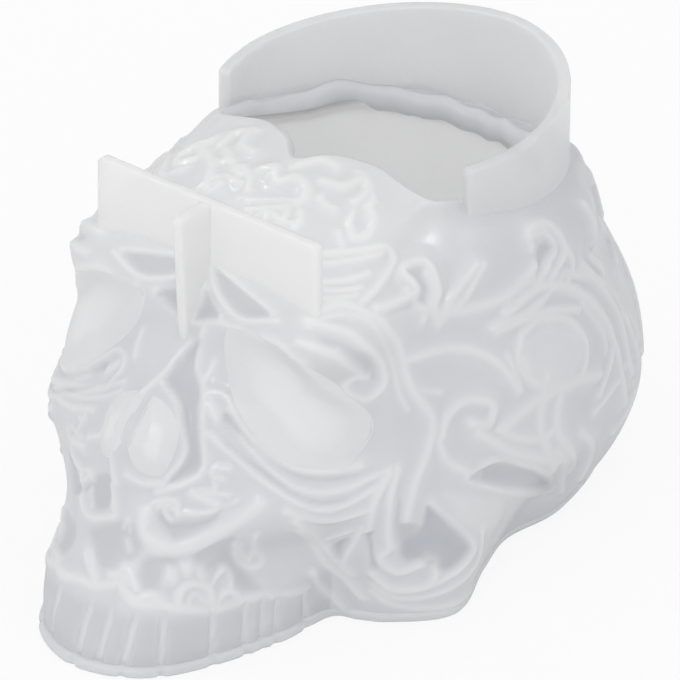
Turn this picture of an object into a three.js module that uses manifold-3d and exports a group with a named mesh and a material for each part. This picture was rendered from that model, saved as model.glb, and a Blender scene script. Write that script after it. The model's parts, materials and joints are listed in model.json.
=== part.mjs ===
// Flexible silicone casting mould shaped over a scroll-carved skull without a lower jaw.
// The skin follows the skull, a smooth cup hangs inside it to hollow the casting, and a collar
// and a crossed plate on the forehead are its feet when it is turned over to be filled.
// Millimetres, +Z up, face towards -Y, origin on the table under the middle of the mould.
import * as THREE from 'three';
import { mergeVertices } from 'three/addons/utils/BufferGeometryUtils.js';
import Module from 'manifold-3d';

const wasm = await Module();
wasm.setup();

// overall sizes
const skullLength = 191.5; // front teeth to the back of the head
const skullWidth = 120.6; // widest, above the ears
const lipHeight = 109; // highest point of the cup's lip above the table
const standProud = 1.6; // collar rim and plate top above the highest point of the lip

// walls and clearances
const skinWall = 3.25;
const cupWall = 3.25;
const clearance = 0.3; // between pieces that are cut to each other

// pour rim round the open base
const rimHeight = 3;
const rimBead = 1.2; // how far the bead stands out of the skin

// core cup
const cupFloorHeight = 12; // underside of the cup above the table, the casting's own floor
const cupHalfWidth = 31; // inside, at the floor
const cupHalfLength = 33;
const cupCornerRadius = 10;
const lipTurn = 2.6; // how far the lip turns in towards the cup
const lipDepth = 6; // height of the lip's inner face

// stand collar
const collarWall = 3.25;
const collarHalfLength = 52.7;
const collarRoundness = 1.85; // 2 is an ellipse
const collarLedgeSide = 2.5; // lip to collar at the sides
const collarLedgeRear = 6.2; // lip to collar at the back
const collarOpening = 69; // half angle of the gap at the front, in degrees

// crossed plate on the forehead
const plateWidth = 70.6;
const plateThickness = 3;
const plateBehindBrow = 4.5; // front face of the plate behind the middle of the brow
const finThickness = 3;
const finReach = 11.5; // how far the fin stands in front of the plate
const finSlant = 2.5; // how much further back its edge is at the bottom
const finDrop = 37; // height of the fin's front edge

// thick silicone that fills the eye sockets and the nostrils
// column and row place them on the skin's outlines, turn and tilt are in degrees
// each oval hollow holds a block that follows the skin, with its outline as [along, up] in mm
const eye = {
  column: 3.42, row: 4.54, turn: 33, tilt: 20, halfLength: 18, halfHeight: 12, proud: 1, depth: 3.6,
  outline: [[-22, 11], [-13, 16.5], [-2, 15], [10, 8.5], [19.5, 1.5], [17.5, -9], [6, -13], [-10, -7.5], [-19, 1]],
};
const nostril = {
  column: 0.72, row: 3.95, turn: 30, tilt: -14, halfLength: 6, halfHeight: 10, proud: 1, depth: 2.8,
  outline: [[-4.5, 11.5], [-8.2, 2], [-6.5, -6.5], [0, -8], [5.5, 0], [5.2, 10], [2, 16]],
};
const blockCorners = 36; // corners round a block's outline

// main lines of the carved scrollwork, each with its width and height and its course as [column, row]
// on the skin's outlines; mirrored ones are on both sides of the head
const ribEdge = 1.8; // how far a rib reaches into the skin
const ribStep = 3.5; // facet length along a rib
const ribs = [
  // gum line
  { panel: 'face', width: 2.6, height: 1, mirrored: false, course: [[-3.6, 1.3], [-2.6, 1.35], [-1.2, 1.48],
    [-0.4, 1.5], [0.2, 1.6], [0.6, 1.72], [1.1, 1.5], [2.1, 1.4], [2.7, 1.3], [3.6, 1.3], [4.4, 1.25]] },
  // scroll beside the nose
  { panel: 'face', width: 4.4, height: 1.5, mirrored: true, course: [[1.4, 2.9], [1.1, 3.1], [0.75, 2.9],
    [0.9, 2.5], [1.7, 2.35], [2.25, 2.55], [2.9, 3.1]] },
  // wing of the nose
  { panel: 'face', width: 2.2, height: 0.9, mirrored: true, course: [[0.6, 5.2], [1.25, 4.6], [1.7, 3.8],
    [1.2, 3.35]] },
  // scroll under the eye
  { panel: 'face', width: 2.4, height: 0.8, mirrored: true, course: [[1.5, 4.1], [2.2, 3.8], [3.05, 3.4],
    [4.6, 3.05], [5.5, 3.2]] },
  // fan on the cheek
  { panel: 'face', width: 2.2, height: 0.9, mirrored: true, course: [[3.8, 2.85], [4.55, 2.4], [4.95, 1.85],
    [5.3, 1.25]] },
  // rim of the eye socket, and the leaf above it
  { panel: 'face', width: 2.8, height: 1, mirrored: true, course: [[4.6, 6.4], [5.1, 6.2], [5.7, 5.65]] },
  { panel: 'face', width: 1.8, height: 0.8, mirrored: true, course: [[4.5, 7.1], [5.2, 7.05], [5.5, 6.8]] },
  { panel: 'side', width: 2.8, height: 1, mirrored: true, course: [[6.3, 4.65], [6.7, 4], [6.6, 3.5],
    [6.25, 2.4]] },
  // folds and rim under the cheekbone
  { panel: 'face', width: 2.2, height: 0.9, mirrored: true, course: [[5.65, 2.9], [5.6, 2.2], [5.7, 1.3]] },
  { panel: 'side', width: 2.2, height: 0.9, mirrored: true, course: [[6.6, 2.4], [7.1, 1.5], [6.6, 0.9],
    [6.25, 1.3]] },
  // scroll at the temple
  { panel: 'side', width: 1.8, height: 0.8, mirrored: true, course: [[6.7, 5.75], [6.8, 6.2], [6.45, 6.6],
    [6.25, 6.4]] },
  // line over the cheek, and the scroll that ends in it
  { panel: 'side', width: 2, height: 0.7, mirrored: true, course: [[6.3, 5.1], [7, 4.95], [7.65, 4.5],
    [7.95, 3.9]] },
  { panel: 'side', width: 1.8, height: 0.7, mirrored: true, course: [[6.95, 3.8], [7.25, 4.05], [7.6, 3.8],
    [7.5, 3.55]] },
  // scroll on the side of the head
  { panel: 'side', width: 2, height: 0.8, mirrored: true, course: [[8.35, 6.1], [8.5, 6.55], [8.85, 6.5],
    [8.95, 5.7], [8.6, 5.1], [7.8, 4.95]] },
  // ring of the boss
  { panel: 'side', width: 2, height: 0.7, mirrored: true, course: [[8.1, 4.65], [8.65, 4.65], [9.1, 4.25],
    [9.2, 3.75], [8.9, 3.5], [8.3, 3.85], [8, 4.3]] },
];

// upper teeth
const toothCount = 14;
const toothWidth = 7;
const toothGroove = 0.9;

// Half outlines of the skull at nine heights, front middle to rear middle, as [out, back].
// rise lifts or lowers single points of an outline off its height.
const outlines = [
  { height: 0, points: [[0, -3], [11.5, 0.3], [20, 8], [26.5, 21.5], [31.5, 39], [33.5, 56], [45, 62],
    [56, 76], [48.5, 96], [43.5, 112], [45, 132], [37, 158], [19, 174], [0, 179]] },
  { height: 13, points: [[0, 1], [12, 2.5], [21, 10], [27, 23.5], [32, 39], [36, 54], [48, 61],
    [58.5, 77], [54, 96], [50.5, 114], [52, 137], [43, 163], [22, 180], [0, 185]] },
  { height: 27, points: [[0, 7], [11, 9], [18.5, 14.5], [24.5, 25], [31, 37], [39, 48], [50, 58],
    [59, 75], [58.5, 97], [58.5, 118], [56, 142], [44.5, 168], [22.5, 184], [0, 188.5]] },
  { height: 42, points: [[0, 13], [11, 16.5], [22, 22], [33, 29], [41.5, 36], [48, 45], [53, 56],
    [57, 74], [60, 96], [60.3, 117.5], [55.3, 142], [42.5, 167], [21.5, 183], [0, 188]] },
  { height: 58, points: [[0, 17], [10, 22], [21, 29], [30.5, 35], [39, 41.5], [46, 49.5], [50, 60],
    [54, 76], [58, 98], [58.5, 120], [52.5, 142], [37.5, 163.5], [19, 177], [0, 180.5]] },
  { height: 74, points: [[0, 36.5], [10, 36], [20, 38.5], [28.5, 41.5], [37, 46.5], [43.5, 53.5], [47.5, 63.5],
    [51, 80], [54, 101], [53.5, 121], [47, 142], [33, 158.5], [16.5, 169], [0, 172]] },
  { height: 86, points: [[0, 42.3], [12, 41], [22, 41], [32.5, 42.5], [41, 47.5], [44.8, 56.5], [45.5, 68],
    [46.5, 83.7], [50, 103.7], [51, 124], [45.5, 144], [32, 158.5], [16, 168], [0, 170.5]],
    rise: [0, 0, 0, 0, -1, -1, 0, 1, 1, -2, -5, -8, -10, -10] },
  { height: 99, points: [[0, 54], [11, 54], [20, 55], [26.5, 58.4], [32, 64.2], [35, 71], [37.4, 81],
    [41.2, 92.2], [45.5, 106], [45.5, 124], [40.5, 142.5], [29, 157.5], [14, 165.5], [0, 167.5]],
    rise: [0, 0, -0.5, -1, -1.5, -2, -3, -3, -4, -7.5, -11.3, -14, -16, -17] },
  { height: 109, points: [[0, 80], [7, 85.8], [13, 88.7], [19.5, 90.6], [26, 90], [31, 90.4],
    [35, 93.5], [36.8, 98.5], [37.7, 111], [36.5, 127.5], [31.5, 143.5], [22, 154], [11, 159], [0, 160.3]],
    rise: [-0.5, 0, -0.3, -1.2, -2.4, -3.8, -6, -7.4, -11.7, -16.5, -18.3, -21.1, -22, -22.8] },
];

// skull surface
const columns = outlines[0].points.length;
const turnCount = 2 * (columns - 1); // columns once round the skull
const topRow = outlines.length - 1;
const drawnWidth = 2 * Math.max(...outlines.flatMap((o) => o.points.map((p) => p[0])));
const backs = outlines.flatMap((o) => o.points.map((p) => p[1]));
const drawnLength = Math.max(...backs) - Math.min(...backs);
const drawnHeight = outlines[topRow].height;

function outlinePoint(row, column) {
  const turned = ((column % turnCount) + turnCount) % turnCount;
  const index = turned < columns ? turned : turnCount - turned;
  const side = turned < columns ? 1 : -1;
  const outline = outlines[row];
  const [out, back] = outline.points[index];
  const up = outline.height + (outline.rise ? outline.rise[index] : 0);
  return new THREE.Vector3(
    (side * out * skullWidth) / drawnWidth,
    (back * skullLength) / drawnLength,
    (up * lipHeight) / drawnHeight,
  );
}

function blend(p0, p1, p2, p3, t) {
  const curve = (a, b, c, d) => 0.5 * (2 * b + (c - a) * t + (2 * a - 5 * b + 4 * c - d) * t * t
    + (3 * b - a - 3 * c + d) * t * t * t);
  return new THREE.Vector3(
    curve(p0.x, p1.x, p2.x, p3.x),
    curve(p0.y, p1.y, p2.y, p3.y),
    curve(p0.z, p1.z, p2.z, p3.z),
  );
}

function roundRow(row, u) {
  const i = Math.floor(u);
  const p = [-1, 0, 1, 2].map((k) => outlinePoint(row, i + k));
  return blend(...p, u - i);
}

// u counts columns round the skull from the front middle, v counts outlines up from the base
function plainSkin(u, v) {
  const j = Math.min(Math.floor(v), topRow - 1);
  const p1 = roundRow(j, u);
  const p2 = roundRow(j + 1, u);
  const p0 = j > 0 ? roundRow(j - 1, u) : p1.clone().multiplyScalar(2).sub(p2);
  const p3 = j + 2 <= topRow ? roundRow(j + 2, u) : p2.clone().multiplyScalar(2).sub(p1);
  return blend(p0, p1, p2, p3, v - j);
}

const probe = 0.04; // step in u and v that measures the skin's directions

function alongColumns(u, v) {
  return plainSkin(u + probe, v).sub(plainSkin(u - probe, v)).normalize();
}

function alongRows(u, v) {
  const low = Math.max(v - probe, 0);
  const high = Math.min(v + probe, topRow);
  return plainSkin(u, high).sub(plainSkin(u, low)).normalize();
}

function skinNormal(u, v) {
  return alongColumns(u, v).cross(alongRows(u, v)).normalize();
}

// frame of a filled hollow: centre, outward direction, and the two directions of its oval
function hollowFrame(hollow, side) {
  const turn = THREE.MathUtils.degToRad(hollow.turn);
  const tilt = THREE.MathUtils.degToRad(hollow.tilt);
  const outward = new THREE.Vector3(side * Math.sin(turn), -Math.cos(turn), 0);
  const level = new THREE.Vector3(side * Math.cos(turn), Math.sin(turn), 0);
  const up = new THREE.Vector3(0, 0, 1);
  const long = level.clone().multiplyScalar(Math.cos(tilt)).addScaledVector(up, -Math.sin(tilt));
  const high = level.clone().multiplyScalar(Math.sin(tilt)).addScaledVector(up, Math.cos(tilt));
  const centre = plainSkin(side * hollow.column, hollow.row);
  return { centre, outward, long, high };
}

function ramp(from, to, x) {
  const t = THREE.MathUtils.clamp((x - from) / (to - from), 0, 1);
  return t * t * (3 - 2 * t);
}

const hollows = [eye, nostril].flatMap((hollow) => [1, -1].map((side) => (
  { hollow, frame: hollowFrame(hollow, side) })));

function relief(point, u, v) {
  let height = 0;
  for (const { hollow, frame } of hollows) {
    const from = point.clone().sub(frame.centre);
    const a = from.dot(frame.long) / hollow.halfLength;
    const b = from.dot(frame.high) / hollow.halfHeight;
    if (Math.abs(from.dot(frame.outward)) < hollow.halfLength) {
      height -= hollow.depth * (1 - ramp(0.45, 1.05, Math.hypot(a, b)));
    }
  }
  return height;
}

function skin(u, v, offset = 0) {
  const point = plainSkin(u, v);
  return point.addScaledVector(skinNormal(u, v), relief(point, u, v) + offset);
}

// closed bodies from rings of points
function bodyFromGrid(grid, closedRound) {
  const rings = grid.length;
  const size = grid[0].length;
  const positions = grid.flat().flatMap((p) => [p.x, p.y, p.z]);
  const index = [];
  const at = (i, j) => (i % rings) * size + ((j + size) % size);
  const quad = (a, b, c, d) => index.push(a, b, c, a, c, d);
  for (let i = 0; i < (closedRound ? rings : rings - 1); i += 1) {
    for (let j = 0; j < size; j += 1) {
      quad(at(i, j), at(i + 1, j), at(i + 1, j + 1), at(i, j + 1));
    }
  }
  if (!closedRound) {
    for (let j = 0; j < size / 2 - 1; j += 1) {
      quad(at(0, j), at(0, j + 1), at(0, size - 2 - j), at(0, size - 1 - j));
      const last = rings - 1;
      quad(at(last, j), at(last, size - 1 - j), at(last, size - 2 - j), at(last, j + 1));
    }
  }
  return cleanGeometry(positions, index);
}

function cleanGeometry(positions, index) {
  let geometry = new THREE.BufferGeometry();
  geometry.setAttribute('position', new THREE.Float32BufferAttribute(positions, 3));
  geometry.setIndex(index);
  geometry = mergeVertices(geometry, 1e-4);
  const merged = geometry.getIndex().array;
  const kept = [];
  for (let i = 0; i < merged.length; i += 3) {
    const [a, b, c] = [merged[i], merged[i + 1], merged[i + 2]];
    if (a !== b && b !== c && c !== a) kept.push(a, b, c);
  }
  if (signedVolume(geometry.getAttribute('position'), kept) < 0) kept.reverse();
  geometry.setIndex(kept);
  return geometry;
}

function signedVolume(position, index) {
  const corner = (k) => new THREE.Vector3().fromBufferAttribute(position, index[k]);
  let volume = 0;
  for (let i = 0; i < index.length; i += 3) {
    volume += corner(i).dot(corner(i + 1).cross(corner(i + 2)));
  }
  return volume;
}

function toSolid(geometry) {
  const bare = geometry.clone();
  bare.deleteAttribute('normal');
  bare.deleteAttribute('uv');
  const merged = mergeVertices(bare, 1e-4);
  return new wasm.Manifold(new wasm.Mesh({
    numProp: 3,
    vertProperties: new Float32Array(merged.getAttribute('position').array),
    triVerts: new Uint32Array(merged.getIndex().array),
  }));
}

function signedVolumeOf(solid) {
  const geometry = fromSolid(solid);
  return signedVolume(geometry.getAttribute('position'), geometry.getIndex().array);
}

function fromSolid(solid) {
  const mesh = solid.getMesh();
  const geometry = new THREE.BufferGeometry();
  geometry.setAttribute('position', new THREE.Float32BufferAttribute(mesh.vertProperties, 3));
  geometry.setIndex(Array.from(mesh.triVerts));
  return geometry;
}

function steps(from, to, count) {
  return Array.from({ length: count + 1 }, (_, i) => from + ((to - from) * i) / count);
}

// skin panels
const seatHeight = rimHeight + clearance; // where the skin starts, just clear of the rim
const firstRow = seatHeight / ((outlines[1].height * lipHeight) / drawnHeight);
const gumRow = 1; // v of the gum line
const faceSide = 6; // u where the face panel ends, behind the cheekbone
const rearSide = 10.5; // u where the rear panel begins
const lipRow = 7.4; // v where the lip begins
const faceColumns = 34; // facets of the panels
const sideColumns = 12;
const rearColumns = 12;
const bandRows = steps(firstRow, gumRow, 2);
const faceRows = steps(gumRow, lipRow, 15);
const craniumRows = [...bandRows, ...faceRows.slice(1)];
const lipRows = steps(lipRow, topRow, 2);
const faceEdges = steps(-faceSide, faceSide, faceColumns);
const leftEdges = steps(faceSide, rearSide, sideColumns);
const rearEdges = steps(rearSide, turnCount - rearSide, rearColumns);
const rightEdges = steps(turnCount - rearSide, turnCount - faceSide, sideColumns);
// once round the skull
const aroundEdges = [
  ...faceEdges,
  ...leftEdges.slice(1),
  ...rearEdges.slice(1),
  ...rightEdges.slice(1, -1),
];

// a point of the skin at a seam, moved back from the seam by half the clearance
// columnSide and rowSide are 1 or -1 where the panel lies on the higher or lower side of a seam
function seamPoint(u, v, offset, columnSide, rowSide) {
  return skin(u, v, offset)
    .addScaledVector(alongColumns(u, v), (columnSide * clearance) / 2)
    .addScaledVector(alongRows(u, v), (rowSide * clearance) / 2);
}

function edgeSide(index, count) {
  if (index === 0) return 1;
  return index === count ? -1 : 0;
}

function skinPanel(u0, u1, columnCount, panelRows, swell = () => 0) {
  const seated = panelRows[0] === firstRow;
  const grid = steps(u0, u1, columnCount).map((u, i) => {
    const section = (offset) => panelRows.map((v, j) => (
      seamPoint(u, v, offset, edgeSide(i, columnCount), edgeSide(j, panelRows.length - 1))));
    const outer = section(swell(u));
    const inner = section(-skinWall);
    if (seated) [outer[0], inner[0]].forEach((p) => p.setZ(seatHeight));
    return [...outer, ...inner.reverse()];
  });
  return bodyFromGrid(grid, false);
}

// point of a smooth line through the given corners, t counts corners
function coursePoint(course, t) {
  const i = Math.min(Math.floor(t), course.length - 2);
  const corner = (k) => {
    if (k < 0) return [2 * course[0][0] - course[1][0], 2 * course[0][1] - course[1][1], 0];
    if (k < course.length) return [...course[k], 0];
    const [a, b] = course.slice(-2);
    return [2 * b[0] - a[0], 2 * b[1] - a[1], 0];
  };
  const p = [-1, 0, 1, 2].map((k) => new THREE.Vector3(...corner(i + k)));
  return blend(...p, t - i);
}

// carved rib: a low rounded bar laid along its course, narrower at its ends
function rib({ width, height, course }, side) {
  const at = (t) => {
    const place = coursePoint(course, t);
    return { u: side * place.x, v: place.y };
  };
  const walk = steps(0, course.length - 1, 8 * (course.length - 1));
  const points = walk.map((t) => skin(at(t).u, at(t).v));
  const lengths = points.map((p, i) => (i ? p.distanceTo(points[i - 1]) : 0));
  const marks = [0];
  let gone = 0;
  walk.forEach((t, i) => {
    gone += lengths[i];
    if (gone >= ribStep && i < walk.length - 3) {
      marks.push(t);
      gone = 0;
    }
  });
  marks.push(course.length - 1);
  const grid = marks.map((t, i) => {
    const { u, v } = at(t);
    const middle = skin(u, v);
    const before = at(Math.max(t - 0.1, 0));
    const after = at(Math.min(t + 0.1, course.length - 1));
    const ahead = skin(after.u, after.v).sub(skin(before.u, before.v)).normalize();
    const out = skinNormal(u, v);
    const across = out.clone().cross(ahead).normalize();
    const share = i === 0 || i === marks.length - 1 ? 0.45 : 1;
    const corner = (away, up) => middle.clone()
      .addScaledVector(across, (away * share * width) / 2)
      .addScaledVector(out, up);
    return [
      corner(-1, -ribEdge), corner(-0.95, 0.25 * height * share), corner(-0.45, height * share),
      corner(0.45, height * share), corner(0.95, 0.25 * height * share), corner(1, -ribEdge),
    ];
  });
  return bodyFromGrid(grid, false);
}

function withRibs(geometry, panel, sides) {
  let solid = toSolid(geometry);
  for (const line of ribs.filter((one) => one.panel === panel)) {
    const drawn = line.mirrored ? sides : [1];
    drawn.forEach((side) => { solid = solid.add(toSolid(rib(line, side))); });
  }
  return fromSolid(solid);
}

function faceSkin() {
  return withRibs(skinPanel(-faceSide, faceSide, faceColumns, faceRows), 'face', [1, -1]);
}

function craniumSkin(edges) {
  return skinPanel(edges[0], edges.at(-1), edges.length - 1, craniumRows);
}

function craniumSide(side) {
  return withRibs(craniumSkin(side > 0 ? leftEdges : rightEdges), 'side', [side]);
}

function archLength(u) {
  const marks = steps(0, Math.abs(u), 16);
  return marks.slice(1).reduce((sum, mark, i) => (
    sum + plainSkin(mark, 0).distanceTo(plainSkin(marks[i], 0))), 0);
}

function toothBand() {
  const lastTooth = toothWidth * toothCount / 2;
  const swell = (u) => {
    const along = archLength(u);
    if (along > lastTooth) return -toothGroove;
    return toothGroove * (Math.abs(Math.sin((Math.PI * along) / toothWidth)) - 1);
  };
  return skinPanel(-faceSide, faceSide, 84, bandRows, swell);
}

function pourRim() {
  const low = (u, offset) => skin(u, 0, offset);
  const grid = aroundEdges.map((u) => {
    const at = (offset, z) => low(u, offset).setZ(z);
    return [
      at(rimBead * 0.6, 0),
      at(rimBead, rimHeight * 0.4),
      at(rimBead * 0.2, rimHeight),
      at(-skinWall, rimHeight),
      at(-skinWall, rimHeight * 0.4),
      at(-skinWall, 0),
    ];
  });
  return bodyFromGrid(grid, true);
}

// cup and its lip
const mouthPoints = aroundEdges.map((u) => plainSkin(u, topRow));
const mouthFront = Math.min(...mouthPoints.map((p) => p.y));
const mouthRear = Math.max(...mouthPoints.map((p) => p.y));
const mouthHalfWidth = Math.max(...mouthPoints.map((p) => p.x));
const cupCentre = new THREE.Vector3(0, (mouthFront + mouthRear) / 2, 0);

function towardsCup(point) {
  return cupCentre.clone().sub(point).setZ(0).normalize();
}

function crownLip() {
  const grid = aroundEdges.map((u) => {
    const section = (offset) => lipRows.map((v, j) => seamPoint(u, v, offset, 0, j === 0 ? 1 : 0));
    const edge = skin(u, topRow);
    const inward = towardsCup(edge);
    const at = (reach, drop) => edge.clone().addScaledVector(inward, reach).add(new THREE.Vector3(0, 0, -drop));
    return [
      ...section(-skinWall),
      at(lipTurn - cupWall, lipDepth),
      at(lipTurn, lipDepth),
      at(lipTurn, lipTurn),
      ...section(0).reverse(),
    ];
  });
  return bodyFromGrid(grid, true);
}

function coreCup() {
  const wallSteps = steps(0, 1, 3);
  const cornerSteps = steps(0, 90, 3).slice(1);
  const ring = (u, extra) => {
    const edge = skin(u, topRow);
    const inward = towardsCup(edge);
    const top = edge.clone().addScaledVector(inward, lipTurn - extra);
    const startZ = edge.z - lipDepth - clearance;
    const floorZ = cupFloorHeight + cupWall - extra;
    const cornerZ = floorZ + cupCornerRadius;
    const angle = Math.atan2(-inward.x / cupHalfWidth, -inward.y / cupHalfLength);
    const foot = cupCentre.clone().add(new THREE.Vector3(
      (cupHalfWidth + extra) * Math.sin(angle),
      (cupHalfLength + extra) * Math.cos(angle),
      0,
    ));
    const wallPoints = wallSteps.map((t) => {
      const p = top.clone().lerp(foot, ramp(0, 1, t) * 0.6 + t * 0.4);
      return p.setZ(THREE.MathUtils.lerp(startZ, cornerZ, t));
    });
    const cornerPoints = cornerSteps.map((degrees) => {
      const rad = THREE.MathUtils.degToRad(degrees);
      const p = foot.clone().addScaledVector(inward, cupCornerRadius * (1 - Math.cos(rad)));
      return p.setZ(cornerZ - cupCornerRadius * Math.sin(rad));
    });
    const centre = cupCentre.clone().setZ(floorZ);
    return [...wallPoints, ...cornerPoints, centre];
  };
  const grid = aroundEdges.map((u) => [
    ...ring(u, 0),
    ...ring(u, cupWall).reverse(),
  ]);
  return bodyFromGrid(grid, true);
}

// everything inside the skin's outer face and a little beyond, to cut what stands on the skin
function envelope() {
  const rows = [0, ...faceRows, ...lipRows.slice(1)];
  const grid = aroundEdges.map((u) => [
    new THREE.Vector3(0, cupCentre.y, 0),
    ...rows.map((v) => skin(u, v, clearance)),
    new THREE.Vector3(0, cupCentre.y, 20),
  ]);
  const size = grid[0].length;
  const positions = grid.flat().flatMap((p) => [p.x, p.y, p.z]);
  const index = [];
  for (let i = 0; i < grid.length; i += 1) {
    const here = i * size;
    const next = ((i + 1) % grid.length) * size;
    for (let j = 0; j < size - 1; j += 1) {
      index.push(here + j, next + j, next + j + 1, here + j, next + j + 1, here + j + 1);
    }
  }
  return toSolid(cleanGeometry(positions, index));
}

const skinEnvelope = envelope();

// what is left of a piece outside the skin, without the chips that a cut can leave
function cutToSkin(geometry) {
  const pieces = toSolid(geometry).subtract(skinEnvelope).decompose();
  const sizes = pieces.map((piece) => signedVolumeOf(piece));
  return fromSolid(pieces[sizes.indexOf(Math.max(...sizes))]);
}

// stand
const standHeight = lipHeight + standProud;
const plateSetback = outlinePoint(topRow - 2, 0).y + plateBehindBrow; // the brow is two outlines below the lip
const collarHalfWidth = mouthHalfWidth + collarLedgeSide + collarWall;
const collarCentre = mouthRear + collarLedgeRear + collarWall - collarHalfLength;

function collarPoint(angle, inset, z) {
  const s = Math.sin(angle);
  const c = Math.cos(angle);
  const bend = (value) => Math.sign(value) * Math.abs(value) ** (2 / collarRoundness);
  return new THREE.Vector3(
    (collarHalfWidth - inset) * bend(s),
    collarCentre + (collarHalfLength - inset) * bend(c),
    z,
  );
}

function standCollar() {
  const end = THREE.MathUtils.degToRad(180 - collarOpening);
  const bottom = standHeight / 2;
  const grid = steps(-end, end, 44).map((angle) => [
    collarPoint(angle, 0, bottom),
    collarPoint(angle, 0, standHeight),
    collarPoint(angle, collarWall, standHeight),
    collarPoint(angle, collarWall, bottom),
  ]);
  return cutToSkin(bodyFromGrid(grid, false));
}

function standPlate() {
  const height = standHeight / 2;
  const plate = new THREE.BoxGeometry(plateWidth, plateThickness, height);
  plate.translate(0, plateSetback + plateThickness / 2, standHeight - height / 2);
  return cutToSkin(plate);
}

function standFin() {
  const outline = new THREE.Shape();
  outline.moveTo(plateSetback, standHeight);
  outline.lineTo(plateSetback - finReach, standHeight);
  outline.lineTo(plateSetback - finReach + finSlant, standHeight - finDrop);
  outline.lineTo(plateSetback, standHeight - finDrop);
  outline.closePath();
  const fin = new THREE.ExtrudeGeometry(outline, { depth: finThickness, bevelEnabled: false });
  fin.rotateX(Math.PI / 2);
  fin.rotateZ(Math.PI / 2);
  fin.translate(-finThickness / 2, 0, 0);
  return cutToSkin(fin);
}

// how far the plain skin stands over a hollow's own plane, at so much along the plane and up it
function skinOver(hollow, side, frame, along, up) {
  const place = (u, v) => {
    const from = plainSkin(u, v).sub(frame.centre);
    return [from.dot(frame.long), from.dot(frame.high), from.dot(frame.outward)];
  };
  const shortStep = (x) => THREE.MathUtils.clamp(x, -0.5, 0.5);
  let [u, v] = [side * hollow.column, hollow.row];
  for (let count = 0; count < 20; count += 1) {
    const [a, b] = place(u, v);
    const [nextA, nextB] = place(u + probe, v);
    const [upA, upB] = place(u, v + probe);
    const [au, bu, av, bv] = [nextA - a, nextB - b, upA - a, upB - b].map((x) => x / probe);
    const area = au * bv - av * bu;
    u += shortStep(((along - a) * bv - (up - b) * av) / area);
    v += shortStep(((up - b) * au - (along - a) * bu) / area);
  }
  return place(u, v)[2];
}

function hollowBlock(hollow, side) {
  const frame = hollowFrame(hollow, side);
  const corners = hollow.outline.map(([along, up]) => new THREE.Vector3(along, up, 0));
  const loop = new THREE.CatmullRomCurve3(corners, true, 'catmullrom').getPoints(blockCorners).slice(1);
  const middle = loop.reduce((sum, p) => sum.add(p), new THREE.Vector3()).divideScalar(loop.length);
  const ring = (share, height) => loop.map((p) => {
    const { x, y } = middle.clone().lerp(p, share);
    return frame.centre.clone()
      .addScaledVector(frame.long, x)
      .addScaledVector(frame.high, y)
      .addScaledVector(frame.outward, skinOver(hollow, side, frame, x, y) + height);
  });
  const { proud, depth } = hollow;
  const block = cutToSkin(bodyFromGrid([
    ring(0.3, proud), ring(0.65, proud), ring(0.93, proud), ring(1, proud * 0.4), ring(1, -depth)], false));
  let solid = toSolid(block).trimByPlane([side, 0, 0], clearance);
  for (const line of ribs) {
    (line.mirrored ? [1, -1] : [1]).forEach((drawn) => { solid = solid.subtract(toSolid(rib(line, drawn))); });
  }
  const pieces = solid.decompose();
  const sizes = pieces.map((piece) => signedVolumeOf(piece));
  return fromSolid(pieces[sizes.indexOf(Math.max(...sizes))]);
}

// assembly
const mould = new THREE.Group();

function add(name, geometry, color) {
  const material = new THREE.MeshStandardMaterial({ color, roughness: 0.42, metalness: 0 });
  const mesh = new THREE.Mesh(geometry, material);
  mesh.name = name;
  mould.add(mesh);
}

const thinSilicone = '#cfd1d6';
const thickSilicone = '#dfe0e4';
add('pour_rim', pourRim(), thinSilicone);
add('tooth_band', toothBand(), thinSilicone);
add('face_skin', faceSkin(), thinSilicone);
add('cranium_skin_left', craniumSide(1), thinSilicone);
add('cranium_skin_right', craniumSide(-1), thinSilicone);
add('cranium_skin_rear', craniumSkin(rearEdges), thinSilicone);
add('crown_lip', crownLip(), thinSilicone);
add('core_cup', coreCup(), thinSilicone);
add('stand_collar', standCollar(), thickSilicone);
add('stand_plate', standPlate(), thickSilicone);
add('stand_fin', standFin(), thickSilicone);
for (const [word, side] of [['left', 1], ['right', -1]]) {
  add(`eye_block_${word}`, hollowBlock(eye, side), thickSilicone);
  add(`nostril_block_${word}`, hollowBlock(nostril, side), thickSilicone);
}

const box = new THREE.Box3().setFromObject(mould);
const middle = box.getCenter(new THREE.Vector3());
mould.position.set(-middle.x, -middle.y, -box.min.z);

export default mould;
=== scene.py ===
import math

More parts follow.
